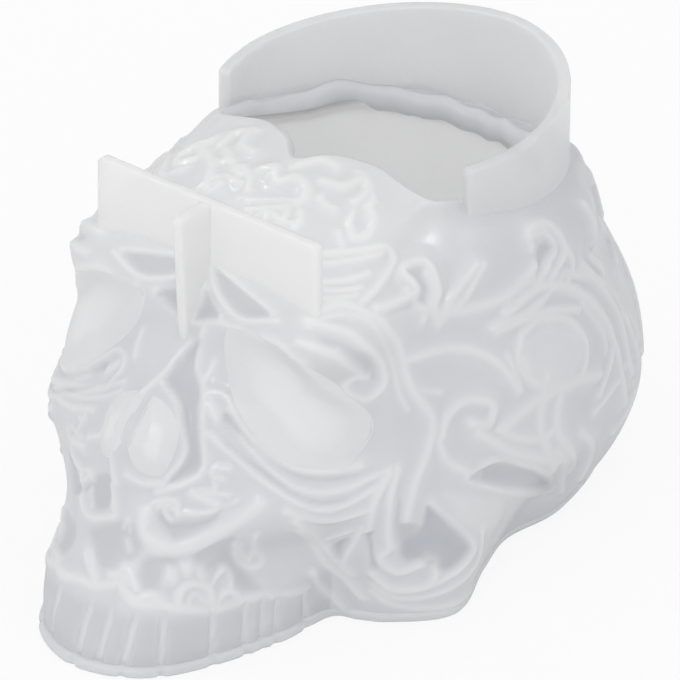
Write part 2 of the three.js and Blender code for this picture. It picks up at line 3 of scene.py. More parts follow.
import bmesh
import bpy
import numpy as np
from mathutils import Matrix, Vector
from mathutils.bvhtree import BVHTree
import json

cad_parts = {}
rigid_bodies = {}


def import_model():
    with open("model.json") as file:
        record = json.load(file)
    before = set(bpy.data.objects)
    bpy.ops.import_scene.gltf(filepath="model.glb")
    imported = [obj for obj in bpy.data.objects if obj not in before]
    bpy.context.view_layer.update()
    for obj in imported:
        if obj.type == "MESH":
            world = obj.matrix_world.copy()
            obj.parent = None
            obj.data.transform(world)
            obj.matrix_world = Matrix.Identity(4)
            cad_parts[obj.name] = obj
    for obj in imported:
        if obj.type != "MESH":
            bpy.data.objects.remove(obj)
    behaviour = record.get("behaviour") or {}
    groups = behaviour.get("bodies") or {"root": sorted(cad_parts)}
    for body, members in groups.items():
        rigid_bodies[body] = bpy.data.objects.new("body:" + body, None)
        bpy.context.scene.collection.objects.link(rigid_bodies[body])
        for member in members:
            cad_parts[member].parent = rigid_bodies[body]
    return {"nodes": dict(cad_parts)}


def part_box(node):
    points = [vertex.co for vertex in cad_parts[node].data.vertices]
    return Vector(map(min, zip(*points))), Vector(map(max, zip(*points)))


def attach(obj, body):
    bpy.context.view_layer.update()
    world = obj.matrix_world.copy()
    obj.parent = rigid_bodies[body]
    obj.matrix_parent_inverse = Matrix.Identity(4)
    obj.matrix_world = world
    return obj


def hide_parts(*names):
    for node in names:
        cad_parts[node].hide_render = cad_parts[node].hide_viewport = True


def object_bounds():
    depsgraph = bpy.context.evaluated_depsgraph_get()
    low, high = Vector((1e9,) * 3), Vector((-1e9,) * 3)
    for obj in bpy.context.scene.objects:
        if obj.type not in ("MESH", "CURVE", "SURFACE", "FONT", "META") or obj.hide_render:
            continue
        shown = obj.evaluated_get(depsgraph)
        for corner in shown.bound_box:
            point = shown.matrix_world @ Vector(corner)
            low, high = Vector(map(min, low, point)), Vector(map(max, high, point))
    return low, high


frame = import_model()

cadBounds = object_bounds()
print("frame loaded:", len(frame["nodes"]), "nodes")

# the skull's outlines, in mm: front middle to rear middle as (out, back), table at 0
skull = {
    "wall": 3.25,
    "heights": [0, 13, 27, 42, 58, 74, 86, 99, 109],
    "halves": [
        [(0, -3), (11.5, 0.3), (20, 8), (26.5, 21.5), (31.5, 39), (33.5, 56), (45, 62),
         (56, 76), (48.5, 96), (43.5, 112), (45, 132), (37, 158), (19, 174), (0, 179)],
        [(0, 1), (12, 2.5), (21, 10), (27, 23.5), (32, 39), (36, 54), (48, 61),
         (58.5, 77), (54, 96), (50.5, 114), (52, 137), (43, 163), (22, 180), (0, 185)],
        [(0, 7), (11, 9), (18.5, 14.5), (24.5, 25), (31, 37), (39, 48), (50, 58),
         (59, 75), (58.5, 97), (58.5, 118), (56, 142), (44.5, 168), (22.5, 184), (0, 188.5)],
        [(0, 13), (11, 16.5), (22, 22), (33, 29), (41.5, 36), (48, 45), (53, 56),
         (57, 74), (60, 96), (60.3, 117.5), (55.3, 142), (42.5, 167), (21.5, 183), (0, 188)],
        [(0, 17), (10, 22), (21, 29), (30.5, 35), (39, 41.5), (46, 49.5), (50, 60),
         (54, 76), (58, 98), (58.5, 120), (52.5, 142), (37.5, 163.5), (19, 177), (0, 180.5)],
        [(0, 36.5), (10, 36), (20, 38.5), (28.5, 41.5), (37, 46.5), (43.5, 53.5), (47.5, 63.5),
         (51, 80), (54, 101), (53.5, 121), (47, 142), (33, 158.5), (16.5, 169), (0, 172)],
        [(0, 42.3), (12, 41), (22, 41), (32.5, 42.5), (41, 47.5), (44.8, 56.5), (45.5, 68),
         (46.5, 83.7), (50, 103.7), (51, 124), (45.5, 144), (32, 158.5), (16, 168), (0, 170.5)],
        [(0, 54), (11, 54), (20, 55), (26.5, 58.4), (32, 64.2), (35, 71), (37.4, 81),
         (41.2, 92.2), (45.5, 106), (45.5, 124), (40.5, 142.5), (29, 157.5), (14, 165.5), (0, 167.5)],
        [(0, 80), (7, 85.8), (13, 88.7), (19.5, 90.6), (26, 90), (31, 90.4),
         (35, 93.5), (36.8, 98.5), (37.7, 111), (36.5, 127.5), (31.5, 143.5), (22, 154), (11, 159),
         (0, 160.3)],
    ],
    # what lifts or lowers single points of the upper outlines
    "rises": {
        6: [0, 0, 0, 0, -1, -1, 0, 1, 1, -2, -5, -8, -10, -10],
        7: [0, 0, -0.5, -1, -1.5, -2, -3, -3, -4, -7.5, -11.3, -14, -16, -17],
        8: [-0.5, 0, -0.3, -1.2, -2.4, -3.8, -6, -7.4, -11.7, -16.5, -18.3, -21.1, -22, -22.8],
    },
}
plateFront = 46.8  # mm, the stand plate's front face, counted back as the outlines are
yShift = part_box("stand_plate")[0][1] * 1000 - plateFront
topRow = len(skull["heights"]) - 1
ringCount = 2 * (len(skull["halves"][0]) - 1)


# rings of points from the base up, with a spare ring beyond each end
def buildNet():
    rings = []
    for row, half in enumerate(skull["halves"]):
        rise = skull["rises"].get(row, [0] * len(half))
        left = [(x, y, skull["heights"][row] + rise[k]) for k, (x, y) in enumerate(half)]
        right = [(-x, y, z) for x, y, z in left[-2:0:-1]]
        rings.append(left + right)
    rings = np.array(rings, float)
    return np.concatenate([[2 * rings[0] - rings[1]], rings, [2 * rings[-1] - rings[-2]]])


net = buildNet()


# a smooth curve from p1 to p2 that heads the way its neighbours lie
def blendPoints(p0, p1, p2, p3, t):
    return 0.5 * (2 * p1 + (p2 - p0) * t + (2 * p0 - 5 * p1 + 4 * p2 - p3) * t ** 2
                  + (3 * p1 - p0 - 3 * p2 + p3) * t ** 3)


# u counts columns round the skull from the front middle, v counts outlines up from the base
def plainSkin(u, v):
    u, v = np.broadcast_arrays(np.asarray(u, float), np.asarray(v, float))
    i = np.floor(u).astype(int)
    j = np.clip(np.floor(v).astype(int), 0, topRow - 1)
    s = (u - i)[..., None]
    t = (v - j)[..., None]
    rows = [blendPoints(*[net[j + k, (i + m) % ringCount] for m in (-1, 0, 1, 2)], s) for k in range(4)]
    return blendPoints(*rows, t)


def unit(vectors):
    return vectors / np.maximum(np.linalg.norm(vectors, axis=-1, keepdims=True), 1e-9)


def skinNormal(u, v):
    step = 0.04
    alongU = plainSkin(u + step, v) - plainSkin(u - step, v)
    alongV = plainSkin(u, np.minimum(v + step, topRow)) - plainSkin(u, np.maximum(v - step, 0))
    return unit(np.cross(alongU, alongV))


def smoothStep(low, high, x):
    t = np.clip((x - low) / (high - low), 0, 1)
    return t * t * (3 - 2 * t)


# filled hollows: where they sit on the skin, how they are turned in degrees, and their sizes in mm
# depth is the wall's inside, socket the skin's dip under the block; proud, edge and rimFade shape its face
eye = {"column": 3.42, "row": 4.54, "turn": 33, "tilt": 20, "halfLength": 18, "halfHeight": 12,
       "depth": 3.6, "socket": 2.6, "proud": 0.9, "edge": 7, "rimFade": 3.2,
       "outline": [(-21.5, 10.5), (-13.5, 15), (-2, 14.5), (11, 9), (20.5, 1.5), (18, -9), (6, -13),
                   (-10, -7.5), (-19, 1)]}
nostril = {"column": 0.72, "row": 3.95, "turn": 30, "tilt": -14, "halfLength": 6, "halfHeight": 10,
           "depth": 2.8, "socket": 2.2, "proud": 0.5, "edge": 4, "rimFade": 1.2,
           "outline": [(-5, 6), (-7.6, 1), (-6, -6), (0, -8), (5.6, 0), (4.4, 5.5), (-0.5, 8.6)]}
# where the sockets' walls slope, in mm, and the wall's inside, as a share of the hollow's size
slopes = {"inset": (0.3, 5), "fromMiddle": (1.5, 4), "inside": (0.45, 1.05), "reach": 34, "range": 12,
          "outlineParts": 4}


def hollowFrame(hollow, side):
    turn = math.radians(hollow["turn"])
    tilt = math.radians(hollow["tilt"])
    outward = np.array([side * math.sin(turn), -math.cos(turn), 0])
    level = np.array([side * math.cos(turn), math.sin(turn), 0])
    up = np.array([0, 0, 1.0])
    longWay = level * math.cos(tilt) - up * math.sin(tilt)
    highWay = level * math.sin(tilt) + up * math.cos(tilt)
    return plainSkin(side * hollow["column"], hollow["row"]), outward, longWay, highWay


# the wall follows each hollow on the inside of the skull
def hollowDepth(points):
    depth = np.zeros(points.shape[:-1])
    for hollow in (eye, nostril):
        for side in (1, -1):
            centre, outward, longWay, highWay = hollowFrame(hollow, side)
            away = points - centre
            a = away @ longWay / hollow["halfLength"]
            b = away @ highWay / hollow["halfHeight"]
            close = np.abs(away @ outward) < hollow["halfLength"]
            share = 1 - smoothStep(*slopes["inside"], np.hypot(a, b))
            depth += np.where(close, hollow["depth"] * share, 0)
    return depth


def closedCourse(corners, parts):
    ext = np.array(corners[-1:] + corners + corners[:2], float)
    t = np.linspace(0, 1, parts + 1)[:-1, None]
    course = np.concatenate([blendPoints(*ext[k:k + 4], t) for k in range(len(corners))])
    return np.concatenate([course, course[:1]])


def distanceTo(points, path):
    best = np.full(len(points), np.inf)
    for a, b in zip(path[:-1], path[1:]):
        ab = b - a
        t = np.clip((points - a) @ ab / max(ab @ ab, 1e-9), 0, 1)
        best = np.minimum(best, np.linalg.norm(points - a - t[:, None] * ab, axis=1))
    return best


def insideCourse(u, v, course):
    inside = np.zeros(len(u), bool)
    for (u0, v0), (u1, v1) in zip(course[:-1], course[1:]):
        crosses = (v0 > v) != (v1 > v)
        inside ^= crosses & (u < (u1 - u0) * (v - v0) / (v1 - v0 + 1e-12) + u0)
    return inside


# how far the skin dips under the block that fills each hollow
def socketDepth(points):
    depth = np.zeros(len(points))
    for hollow in (eye, nostril):
        outline = closedCourse(hollow["outline"], slopes["outlineParts"])
        for side in (1, -1):
            centre, outward, longWay, highWay = hollowFrame(hollow, side)
            away = points - centre
            close = np.linalg.norm(away, axis=1) < slopes["reach"]
            k = np.nonzero(close & (np.abs(away @ outward) < slopes["range"]))[0]
            flat = np.stack([away[k] @ longWay, away[k] @ highWay], axis=1)
            inside = insideCourse(flat[:, 0], flat[:, 1], outline)
            inset = distanceTo(flat, outline) * np.where(inside, 1, -1)
            besideMiddle = smoothStep(*slopes["fromMiddle"], side * points[k, 0])
            dip = hollow["socket"] * smoothStep(*slopes["inset"], inset) * besideMiddle
            depth[k] = np.maximum(depth[k], dip)
    return depth


# from the outlines' mm to the frame's metres
def toRow(points):
    return (points + np.array([0, yShift, 0])) * 0.001


# a grid whose corners are moved to places[row, column]; edges that meet are merged
def gridPiece(name, places, layers=None):
    rows, columns = places.shape[0] - 1, places.shape[1] - 1
    bm = bmesh.new()
    bmesh.ops.create_grid(bm, x_segments=columns, y_segments=rows, size=0.5)
    flat = toRow(places)
    data = {key: bm.verts.layers.float.new(key) for key in (layers or {})}
    for vert in bm.verts:
        c = round((vert.co.x + 0.5) * columns)
        r = round((vert.co.y + 0.5) * rows)
        vert.co = flat[r, c]
        for key, layer in data.items():
            vert[layer] = layers[key][r, c]
    bmesh.ops.remove_doubles(bm, verts=bm.verts, dist=2e-6)
    loose = [edge for edge in bm.edges if not edge.link_faces]
    bmesh.ops.delete(bm, geom=loose, context="EDGES")
    loose = [vert for vert in bm.verts if not vert.link_faces]
    bmesh.ops.delete(bm, geom=loose, context="VERTS")
    bmesh.ops.recalc_face_normals(bm, faces=bm.faces)
    mesh = bpy.data.meshes.new(name)
    bm.to_mesh(mesh)
    bm.free()
    mesh.polygons.foreach_set("use_smooth", [True] * len(mesh.polygons))
    piece = bpy.data.objects.new(name, mesh)
    bpy.context.scene.collection.objects.link(piece)
    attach(piece, "root")
    return piece


# camera at the photograph's angle: mm, degrees and pixels
view = {"middle": (0, 85, 55), "azimuth": 39.22, "elevation": 30.62, "roll": 0.37, "distance": 3000,
        "pixelsPerMm": 4, "shiftX": -36.3, "shiftY": 3.7, "pixels": 680, "sensor": 36, "farthest": 20}


def addCamera():
    az, el, roll = (math.radians(view[key]) for key in ("azimuth", "elevation", "roll"))
    right = np.array([math.cos(az), math.sin(az), 0])
    ahead = np.array([-math.sin(az) * math.cos(el), math.cos(az) * math.cos(el), -math.sin(el)])
    up = np.cross(right, ahead)
    right, up = (math.cos(roll) * right + math.sin(roll) * up,
                 -math.sin(roll) * right + math.cos(roll) * up)
    place = np.array(view["middle"]) - view["distance"] * ahead
    place = place - view["shiftX"] / view["pixelsPerMm"] * right - view["shiftY"] / view["pixelsPerMm"] * up
    lens = bpy.data.cameras.new("camera")
    lens.sensor_width = view["sensor"]
    lens.lens = view["sensor"] * view["pixelsPerMm"] * view["distance"] / view["pixels"]
    lens.clip_end = view["farthest"]
    camera = bpy.data.objects.new("camera", lens)
    x, y, z = toRow(place)
    camera.matrix_world = Matrix([
        [right[0], up[0], -ahead[0], x],
        [right[1], up[1], -ahead[1], y],
        [right[2], up[2], -ahead[2], z],
        [0, 0, 0, 1]])
    bpy.context.scene.collection.objects.link(camera)
    bpy.context.scene.camera = camera


addCamera()
print("camera placed")

# carved scrollwork on the skin: lines as (width mm, height mm, course as [u, v] corners)
carvings = {
    "scrollUnderEye": [
        (2.2, 0.9, [(1.95, 4.45), (2.5, 4.12), (3.4, 3.76), (4.35, 3.66), (5.2, 3.64)]),
        (1.1, 0.5, [(2.3, 4.1), (3.1, 3.64), (3.8, 3.4), (4.8, 3.34), (5.9, 3.48)]),
        (1.6, 0.7, [(1.45, 4.18), (2.2, 3.86), (3.05, 3.46), (3.85, 3.18), (4.6, 3.06), (5.6, 3.26)]),
        (1.3, 0.8, [(1.95, 4.45), (1.75, 4.58), (1.4, 4.62), (1.25, 4.48), (1.45, 4.2)]),
        (2.4, 0.8, [(1.45, 4.48), (1.7, 4.32)]),
    ],
    "scrollOverEye": [
        (1.8, 0.9, [(3.15, 6.3), (4, 6.22), (4.5, 6.08), (5, 5.74), (5.5, 5.26), (5.7, 4.85),
                    (5.35, 4.66), (4.95, 4.7), (4.65, 4.9), (4.8, 5.1), (5.2, 5.04)]),
        (1.5, 0.7, [(3.1, 5.96), (3.9, 5.9), (4.3, 5.72), (4.95, 5.18)]),
        (1.7, 0.7, [(1.45, 5.82), (1.9, 5.76), (2.65, 5.84), (3.45, 5.62)]),
    ],
    "eyeRim": [
        (2.6, 1.0, [(3.35, 6.44), (4.1, 6.52), (5.1, 6.24), (5.55, 5.92), (5.95, 5.44), (6.25, 4.66),
                    (6.7, 4), (6.6, 3.54), (6.35, 3.08), (6.2, 2.48)]),
        (1.2, 0.5, [(3.4, 6.32), (4.15, 6.4), (5.1, 6.1), (5.8, 5.22), (6.05, 4.58), (6.25, 4.28)]),
        (1.1, 0.4, [(6.35, 4.56), (6.85, 4.34)]),
    ],
    "leafOnBrow": [
        (1.8, 1.0, [(2.85, 7.1), (4.55, 7.16), (5.2, 7.12), (5.55, 6.9), (5.25, 6.66), (4.6, 6.48)]),
        (1.4, 0.7, [(3, 6.98), (4.3, 7.04), (5.1, 7.04)]),
        (1.4, 0.7, [(3.3, 6.78), (4.8, 6.82)]),
        (1.4, 0.7, [(3.25, 6.68), (4.6, 6.68)]),
        (1.4, 0.7, [(3.3, 6.58), (4.45, 6.6)]),
    ],
    "templeScroll": [
        (2.4, 1.3, [(6.7, 5.76), (6.8, 6.1), (6.6, 6.52), (6.3, 6.72), (5.85, 6.7), (6.15, 6.44),
                    (6.25, 6.25), (5.7, 6.28), (5.1, 6.36)]),
        (2, 0.9, [(6.5, 5.68), (6.7, 6.1), (6.55, 6.48)]),
        (2.2, 1.2, [(6.75, 5.58), (7.1, 5.8), (7.5, 6.2)]),
        (2.2, 1.2, [(6.8, 5.48), (7.3, 5.72), (7.6, 6.14)]),
    ],
    "sideScroll": [
        (2.7, 1.4, [(8.4, 6.4), (8.5, 6.62), (8.8, 6.58), (8.95, 6.1), (8.95, 5.64), (8.6, 5.24)]),
        (2.2, 1, [(8.4, 6.16), (8.45, 6.4), (8.7, 6.42), (8.8, 5.9), (8.6, 5.64)]),
        (2.3, 1.4, [(7.9, 5.38), (8.25, 5.58), (8.4, 5.72)]),
        (2.3, 1.4, [(8.05, 5.26), (8.25, 5.24), (8.65, 5.6)]),
        (2.3, 1.3, [(7.65, 5), (8.35, 4.98), (8.95, 5.22)]),
        (2.3, 1.3, [(7.7, 4.92), (8.45, 4.84), (9.2, 4.48)]),
    ],
    "boss": [
        (2.4, 1.2, [(8.1, 4.68), (8.4, 4.74), (8.9, 4.5), (9.2, 4), (9.15, 3.55), (8.9, 3.5), (8.3, 3.82),
                    (8, 4.3), (8.1, 4.68)]),
        (2.3, 1.2, [(9.95, 4.52), (10.4, 3.7), (10.55, 3), (10.5, 2.6)]),
        (2, 0.9, [(9.9, 4.34), (10.25, 3.8), (10.2, 3.12)]),
        (2, 0.9, [(9.25, 4.54), (9.6, 3.9), (9.7, 3.52)]),
        (2.1, 0.9, [(8.35, 3.4), (8.55, 3.52), (8.9, 3.44)]),
    ],
    "lowScroll": [
        (2.4, 1.2, [(6.15, 5.08), (7, 4.96), (7.65, 4.5), (8, 3.88)]),
        (2, 0.9, [(7.85, 4.46), (8, 3.96)]),
        (2, 0.9, [(8, 4.46), (8.2, 3.92)]),
        (2.4, 1.2, [(6.85, 3.68), (6.95, 3.94), (7.25, 4.08), (7.6, 3.86), (7.55, 3.56), (7.3, 3.7)]),
        (2, 0.9, [(7.2, 2.84), (7.7, 2.86), (8.5, 2.04), (9.3, 1.06)]),
        (2, 0.9, [(7.2, 2.84), (7.95, 2.04), (8.6, 1.52), (9.3, 1.06)]),
        (2.2, 0.9, [(6.8, 3.64), (6.9, 3.3), (7.15, 3), (7.4, 2.72)]),
    ],
    "foldsUnderCheek": [
        (2.0, 1.0, [(5.9, 3.42), (5.55, 3), (5.6, 2.38)]),
        (2.0, 1.1, [(6.05, 3.44), (5.9, 2.94), (6, 1.88)]),
        (2.2, 1.1, [(6, 1.88), (5.85, 1.64), (6.1, 1.28), (6.4, 1.42)]),
        (2.2, 1.1, [(5.7, 1.24), (6.05, 0.86), (6.5, 0.88), (6.6, 1.4), (6.5, 1.54)]),
        (1.8, 0.8, [(6.6, 2.66), (7.15, 1.54), (7.1, 1.26), (6.6, 0.9)]),
        (1.5, 0.7, [(7.35, 1.64), (7.3, 1.08), (6.8, 0.7), (6.2, 0.6), (5.7, 0.96)]),
        (1.8, 0.7, [(5.7, 0.78), (6.25, 0.38), (7.4, 0.22)]),
    ],
    "fanOnCheek": [
        (1.8, 0.8, [(3.5, 3.08), (4.05, 2.94), (4.7, 2.8), (5.55, 2.92)]),
        (2.2, 1.1, [(3.8, 2.9), (4.55, 2.42), (4.95, 1.88), (5.3, 1.14)]),
        (1.8, 1.0, [(5.45, 2.48), (5.4, 2.04), (5.15, 1.32)]),
        (2.4, 1.1, [(4.05, 2.68), (4.65, 2.16), (4.9, 1.48), (5.35, 0.8), (5.55, 0.58)]),
        (2.0, 1.0, [(4.6, 1.32), (4.7, 0.9), (5.25, 0.16), (5.5, 0.06)]),
        (1.5, 0.7, [(4.8, 2.12), (5.25, 2.4)]),
    ],
    "scrollByNose": [
        (3.2, 1.3, [(0.72, 2.86), (0.75, 2.68), (0.9, 2.5), (1.7, 2.36), (2.25, 2.56), (2.9, 3.16)]),
        (1.3, 0.8, [(0.72, 2.86), (0.9, 3.06), (1.3, 3.08), (1.4, 2.9)]),
        (1.2, 0.7, [(0.95, 2.96), (1.05, 3.04), (1.3, 2.98)]),
        (1.2, 0.6, [(1.1, 2.96), (1.2, 2.86), (1.3, 2.8)]),
        (1.2, 0.7, [(1.4, 2.92), (1.95, 2.98), (2.45, 3.2)]),
        (2.2, 0.9, [(1.6, 3.24), (2.1, 3.12)]),
        (1.1, 0.5, [(1.7, 3.3), (2.3, 3.26)]),
        (1.3, 0.7, [(2.2, 3.64), (1.95, 3.64), (1.85, 3.56), (2.1, 3.48)]),
        (1.2, 0.5, [(1.95, 3.48), (2, 3.32)]),
        (1.5, 0.6, [(0.75, 2.5), (1.05, 2.34), (1.4, 2.28)]),
        (1.3, 0.7, [(2.95, 2.36), (3.35, 1.88), (3.65, 1.74), (3.7, 1.94), (3.2, 2.58)]),
        (0.9, 0.5, [(3.1, 2.32), (3.5, 1.92), (3.45, 2.28)]),
    ],
    "gums": [
        (2.6, 1.2, [(-4.4, 1.05), (-3.6, 1.25), (-2.7, 1.2), (-1.9, 1.3), (-1.25, 1.48), (-0.85, 1.44),
                    (-0.4, 1.52), (0.1, 1.54), (0.45, 1.66), (0.6, 1.72), (0.8, 1.58), (1.1, 1.46),
                    (1.6, 1.46), (2.1, 1.36), (2.75, 1.2), (3.5, 1.2), (3.9, 1.1), (4.4, 1)]),
        (2.2, 1.1, [(-0.4, 1.96), (-0.25, 1.82), (0.1, 1.58)]),
        (2.2, 1.1, [(0.35, 1.78), (0.6, 1.84), (1, 1.7)]),
        (2.4, 1.1, [(0.6, 1.98), (0.8, 1.88), (1, 1.74)]),
        (2.4, 1.1, [(1.15, 1.54), (1.4, 1.62), (1.7, 1.5)]),
        (2.2, 1.2, [(2.05, 1.44), (2.1, 1.64), (2.3, 1.74), (2.5, 1.7), (2.7, 1.56), (2.7, 1.3)]),
        (1.3, 0.7, [(2.25, 1.4), (2.3, 1.54), (2.45, 1.54), (2.6, 1.34)]),
        (1.8, 1.0, [(2.8, 1.3), (2.9, 1.4), (3.1, 1.44), (3.25, 1.18)]),
        (3.5, 1.2, [(1.8, 1.98), (1.85, 1.9)]),
        (3.5, 1.2, [(2.1, 2.12), (2.2, 2)]),
        (3.5, 1.2, [(2.5, 1.96), (2.6, 1.86)]),
        (1.3, 1.0, [(2.75, 1.66), (3, 1.88), (3.15, 1.7), (3.1, 1.52)]),
        (1.2, 0.7, [(0.35, 2.56), (0.4, 2.7), (0.5, 2.54)]),
        (1.5, 0.7, [(0.5, 2.38), (0.6, 2.24)]),
    ],
    "nose": [
        (1.5, 0.8, [(0.3, 5.12), (0.1, 4.88), (0.05, 4.7), (-0.25, 4.4)]),
        (1.3, 0.6, [(0, 4.62), (0.8, 4.42), (1.3, 3.94), (1.25, 3.66), (1.05, 3.44)]),
        (1.8, 0.9, [(0.55, 5.48), (0.6, 5.08), (0.8, 4.84), (1.2, 4.62), (1.6, 3.96), (1.7, 3.6),
                    (1.5, 3.42), (0.9, 3.2)]),
        (1.2, 0.5, [(1.05, 4.68), (1.15, 4.8), (1.15, 5.02)]),
        (1.5, 0.7, [(-1.4, 2.94), (-1.25, 2.68), (-0.75, 2.46), (-0.1, 2.62), (0.05, 2.74),
                    (-0.2, 3.12)]),
        (1.0, 0.5, [(-0.9, 2.8), (-0.7, 2.62)]),
    ],
    "brow": [
        (1.2, 0.8, [(0.1, 6.58), (0.55, 6.52), (1.8, 6.36), (2.25, 6.26)]),
        (1.2, 0.6, [(0.15, 6.52), (0.5, 6.24), (0.95, 6.08), (1.5, 6.02), (2.4, 6.18)]),
        (1.4, 0.6, [(-0.1, 5.42), (0.35, 5.58), (0.8, 5.8), (1.45, 5.82)]),
        (1.2, 0.6, [(0.2, 6.2), (0.2, 5.94), (0.15, 5.54)]),
        (1.2, 0.6, [(0.2, 6.2), (0.5, 6.04), (0.9, 5.88)]),
        (1.3, 0.6, [(-4.4, 3.28), (-3.35, 3.56), (-1.95, 4), (-1, 4.38)]),
        (1.3, 0.6, [(-3.75, 3.34), (-2.9, 3.54), (-2, 3.82), (-0.9, 4.3)]),
    ],
    "crown": [
        (1.5, 0.8, [(-1.35, 7.3), (-1.55, 7.38), (-1.45, 7.46), (-0.7, 7.5)]),
        (2.2, 1.0, [(-1.25, 7.4), (-1.15, 7.4)]),
        (1.5, 1.0, [(-1.15, 7.62), (-0.5, 7.58)]),
        (1.5, 1.0, [(-0.55, 7.74), (-0.25, 7.84), (0, 7.8), (-0.2, 7.72)]),
        (1.5, 0.8, [(0.3, 7.68), (0.55, 7.74), (0.95, 7.7), (1.45, 7.56)]),
        (1.5, 0.8, [(0.1, 7.32), (0.6, 7.4), (1, 7.44)]),
        (1.5, 0.8, [(0.3, 7.28), (0.55, 7.22)]),
        (1.5, 0.8, [(0.65, 7.36), (0.75, 7.26)]),
        (1.5, 0.8, [(1.1, 7.4), (1.2, 7.3)]),
        (1.5, 0.8, [(1.45, 7.44), (1.65, 7.36), (1.6, 7.28)]),
        (2.0, 1.0, [(3.45, 7.7), (3.85, 7.54)]),
        (1.5, 0.8, [(3.1, 7.56), (3.3, 7.42), (3.75, 7.32), (4, 7.38)]),
        (1.7, 0.8, [(1.7, 7.62), (2.05, 7.56), (2.45, 7.54)]),
        (1.5, 0.8, [(2.35, 7.9), (2.75, 7.88), (3.65, 7.7)]),
    ],
    "crownFlower": [
        (1.8, 0.9, [(-1.3, 7.6), (-0.65, 7.6), (-0.3, 7.5)]),
        (2.2, 1.0, [(-0.6, 7.7), (-0.15, 7.8), (0.2, 7.7)]),
        (2.6, 1.1, [(0.25, 7.7), (0.6, 7.75), (1.15, 7.65), (1.3, 7.55)]),
        (1.2, 0.6, [(-0.1, 7.42), (0.65, 7.5), (1.3, 7.5)]),
        (1.6, 0.8, [(0.35, 7.2), (0.65, 7.35), (1.2, 7.3), (1.65, 7.35)]),
        (2.4, 1.0, [(1.45, 7.75), (2.2, 7.75), (2.65, 7.85), (3.1, 7.8), (3, 7.65)]),
        (1.6, 0.7, [(1.65, 7.6), (2.2, 7.55)]),
        (2.0, 1.0, [(3.45, 7.65), (3.95, 7.55), (4.15, 7.35), (3.7, 7.3), (3.4, 7.4)]),
        (1.4, 0.6, [(3.05, 7.35), (3.6, 7.15)]),
        (2.4, 1.0, [(-3.6, 7.55), (-2.25, 7.5), (-1.45, 7.35)]),
        (2.0, 0.9, [(-2.55, 7.65), (-1.7, 7.6), (-1, 7.55)]),
        (2.2, 0.9, [(0.4, 7.9), (0.85, 7.95), (1.6, 7.9)]),
    ],
    "arcsByBoss": [
        (2.8, 1.4, [(9.05, 5.2), (9.6, 4.7), (10.1, 4.1), (10.4, 3.35), (10.5, 2.65)]),
        (2.5, 1.3, [(9.15, 4.8), (9.6, 4.25), (9.85, 3.5), (9.5, 2.9)]),
        (2.2, 1.1, [(9.4, 2.65), (9.75, 2.75), (10.15, 2.8)]),
        (2.2, 1.1, [(9.9, 1.8), (10.2, 1.9), (10.35, 2.1)]),
        (2.8, 1.4, [(9, 5.8), (9.2, 5.3), (9.05, 5)]),
        (2.5, 1.4, [(9.7, 5), (9.95, 4.6), (9.9, 4.45)]),
        (3, 1.9, [(10.6, 4.85), (10.85, 4.4), (10.6, 4.2)]),
        (3, 1.8, [(9.75, 6.5), (9.75, 6), (9.8, 5.35)]),
        (2.2, 1.1, [(7.7, 3.4), (8.05, 3.05), (8.5, 2.8), (8.75, 2.9)]),
        (2.5, 1.3, [(9.15, 2.45), (9.55, 1.7), (9.75, 1)]),
        (2.2, 1.1, [(8.7, 2.4), (9.2, 1.55), (9.55, 0.85)]),
    ],
    "rightCheek": [
        (1.6, 0.8, [(-1.5, 3.4), (-0.75, 3.75), (-0.4, 3.65), (-0.1, 3.2)]),
        (1.4, 0.6, [(-2.2, 1.55), (-1.35, 1.5), (-0.7, 1.5)]),
        (1.6, 0.8, [(0.2, 3.4), (0.6, 3.3), (1, 3.35)]),
        (2.0, 1.0, [(-3.2, 3.35), (-2.45, 3.5), (-1.6, 3.8)]),
    ],
    "leafBehindCheek": [
        (3.0, 1.4, [(7.8, 3.4), (8.3, 3.55), (8.9, 3.5), (9.5, 3.25)]),
        (2.6, 1.3, [(8.45, 3.8), (8.4, 3.05), (8.7, 2)]),
        (2.6, 1.3, [(8.75, 3.5), (8.75, 2.7), (9.3, 1.55)]),
        (2.6, 1.1, [(7.4, 3.5), (8, 2.8), (8.8, 2.1)]),
    ],
    "sweepRoundBoss": [
        (3.2, 1.6, [(7.85, 5.15), (8.6, 5.25), (9.4, 4.5), (9.9, 3.4), (10.05, 2.25)]),
        (3.0, 1.6, [(9.4, 5.1), (10.1, 3.8), (10.25, 2.6)]),
        (2.6, 1.2, [(6.05, 6.35), (6.75, 5.7), (7.65, 5.4), (8.35, 5.5)]),
    ],
    "rearScroll": [
        (3.1, 1.5, [(11.2, 2), (11.4, 3.2), (11.9, 4.2), (12.5, 4.6), (12.8, 4.1), (12.5, 3.6),
                    (12.2, 3.9)]),
        (2.5, 1.4, [(11.5, 1.8), (11.9, 2.8), (12.5, 3.2)]),
        (3.1, 1.5, [(11.1, 4.6), (11.6, 5.4), (12.3, 5.8), (12.8, 5.4), (12.5, 5)]),
        (2.5, 1.2, [(11.2, 5.6), (11.8, 6.3), (12.6, 6.6)]),
        (2.8, 1.4, [(12.1, 1.2), (12.6, 1.8), (13, 2.6)]),
        (2.8, 1.4, [(12.4, 7.2), (12.8, 6.9), (13, 6.2)]),
    ],
}

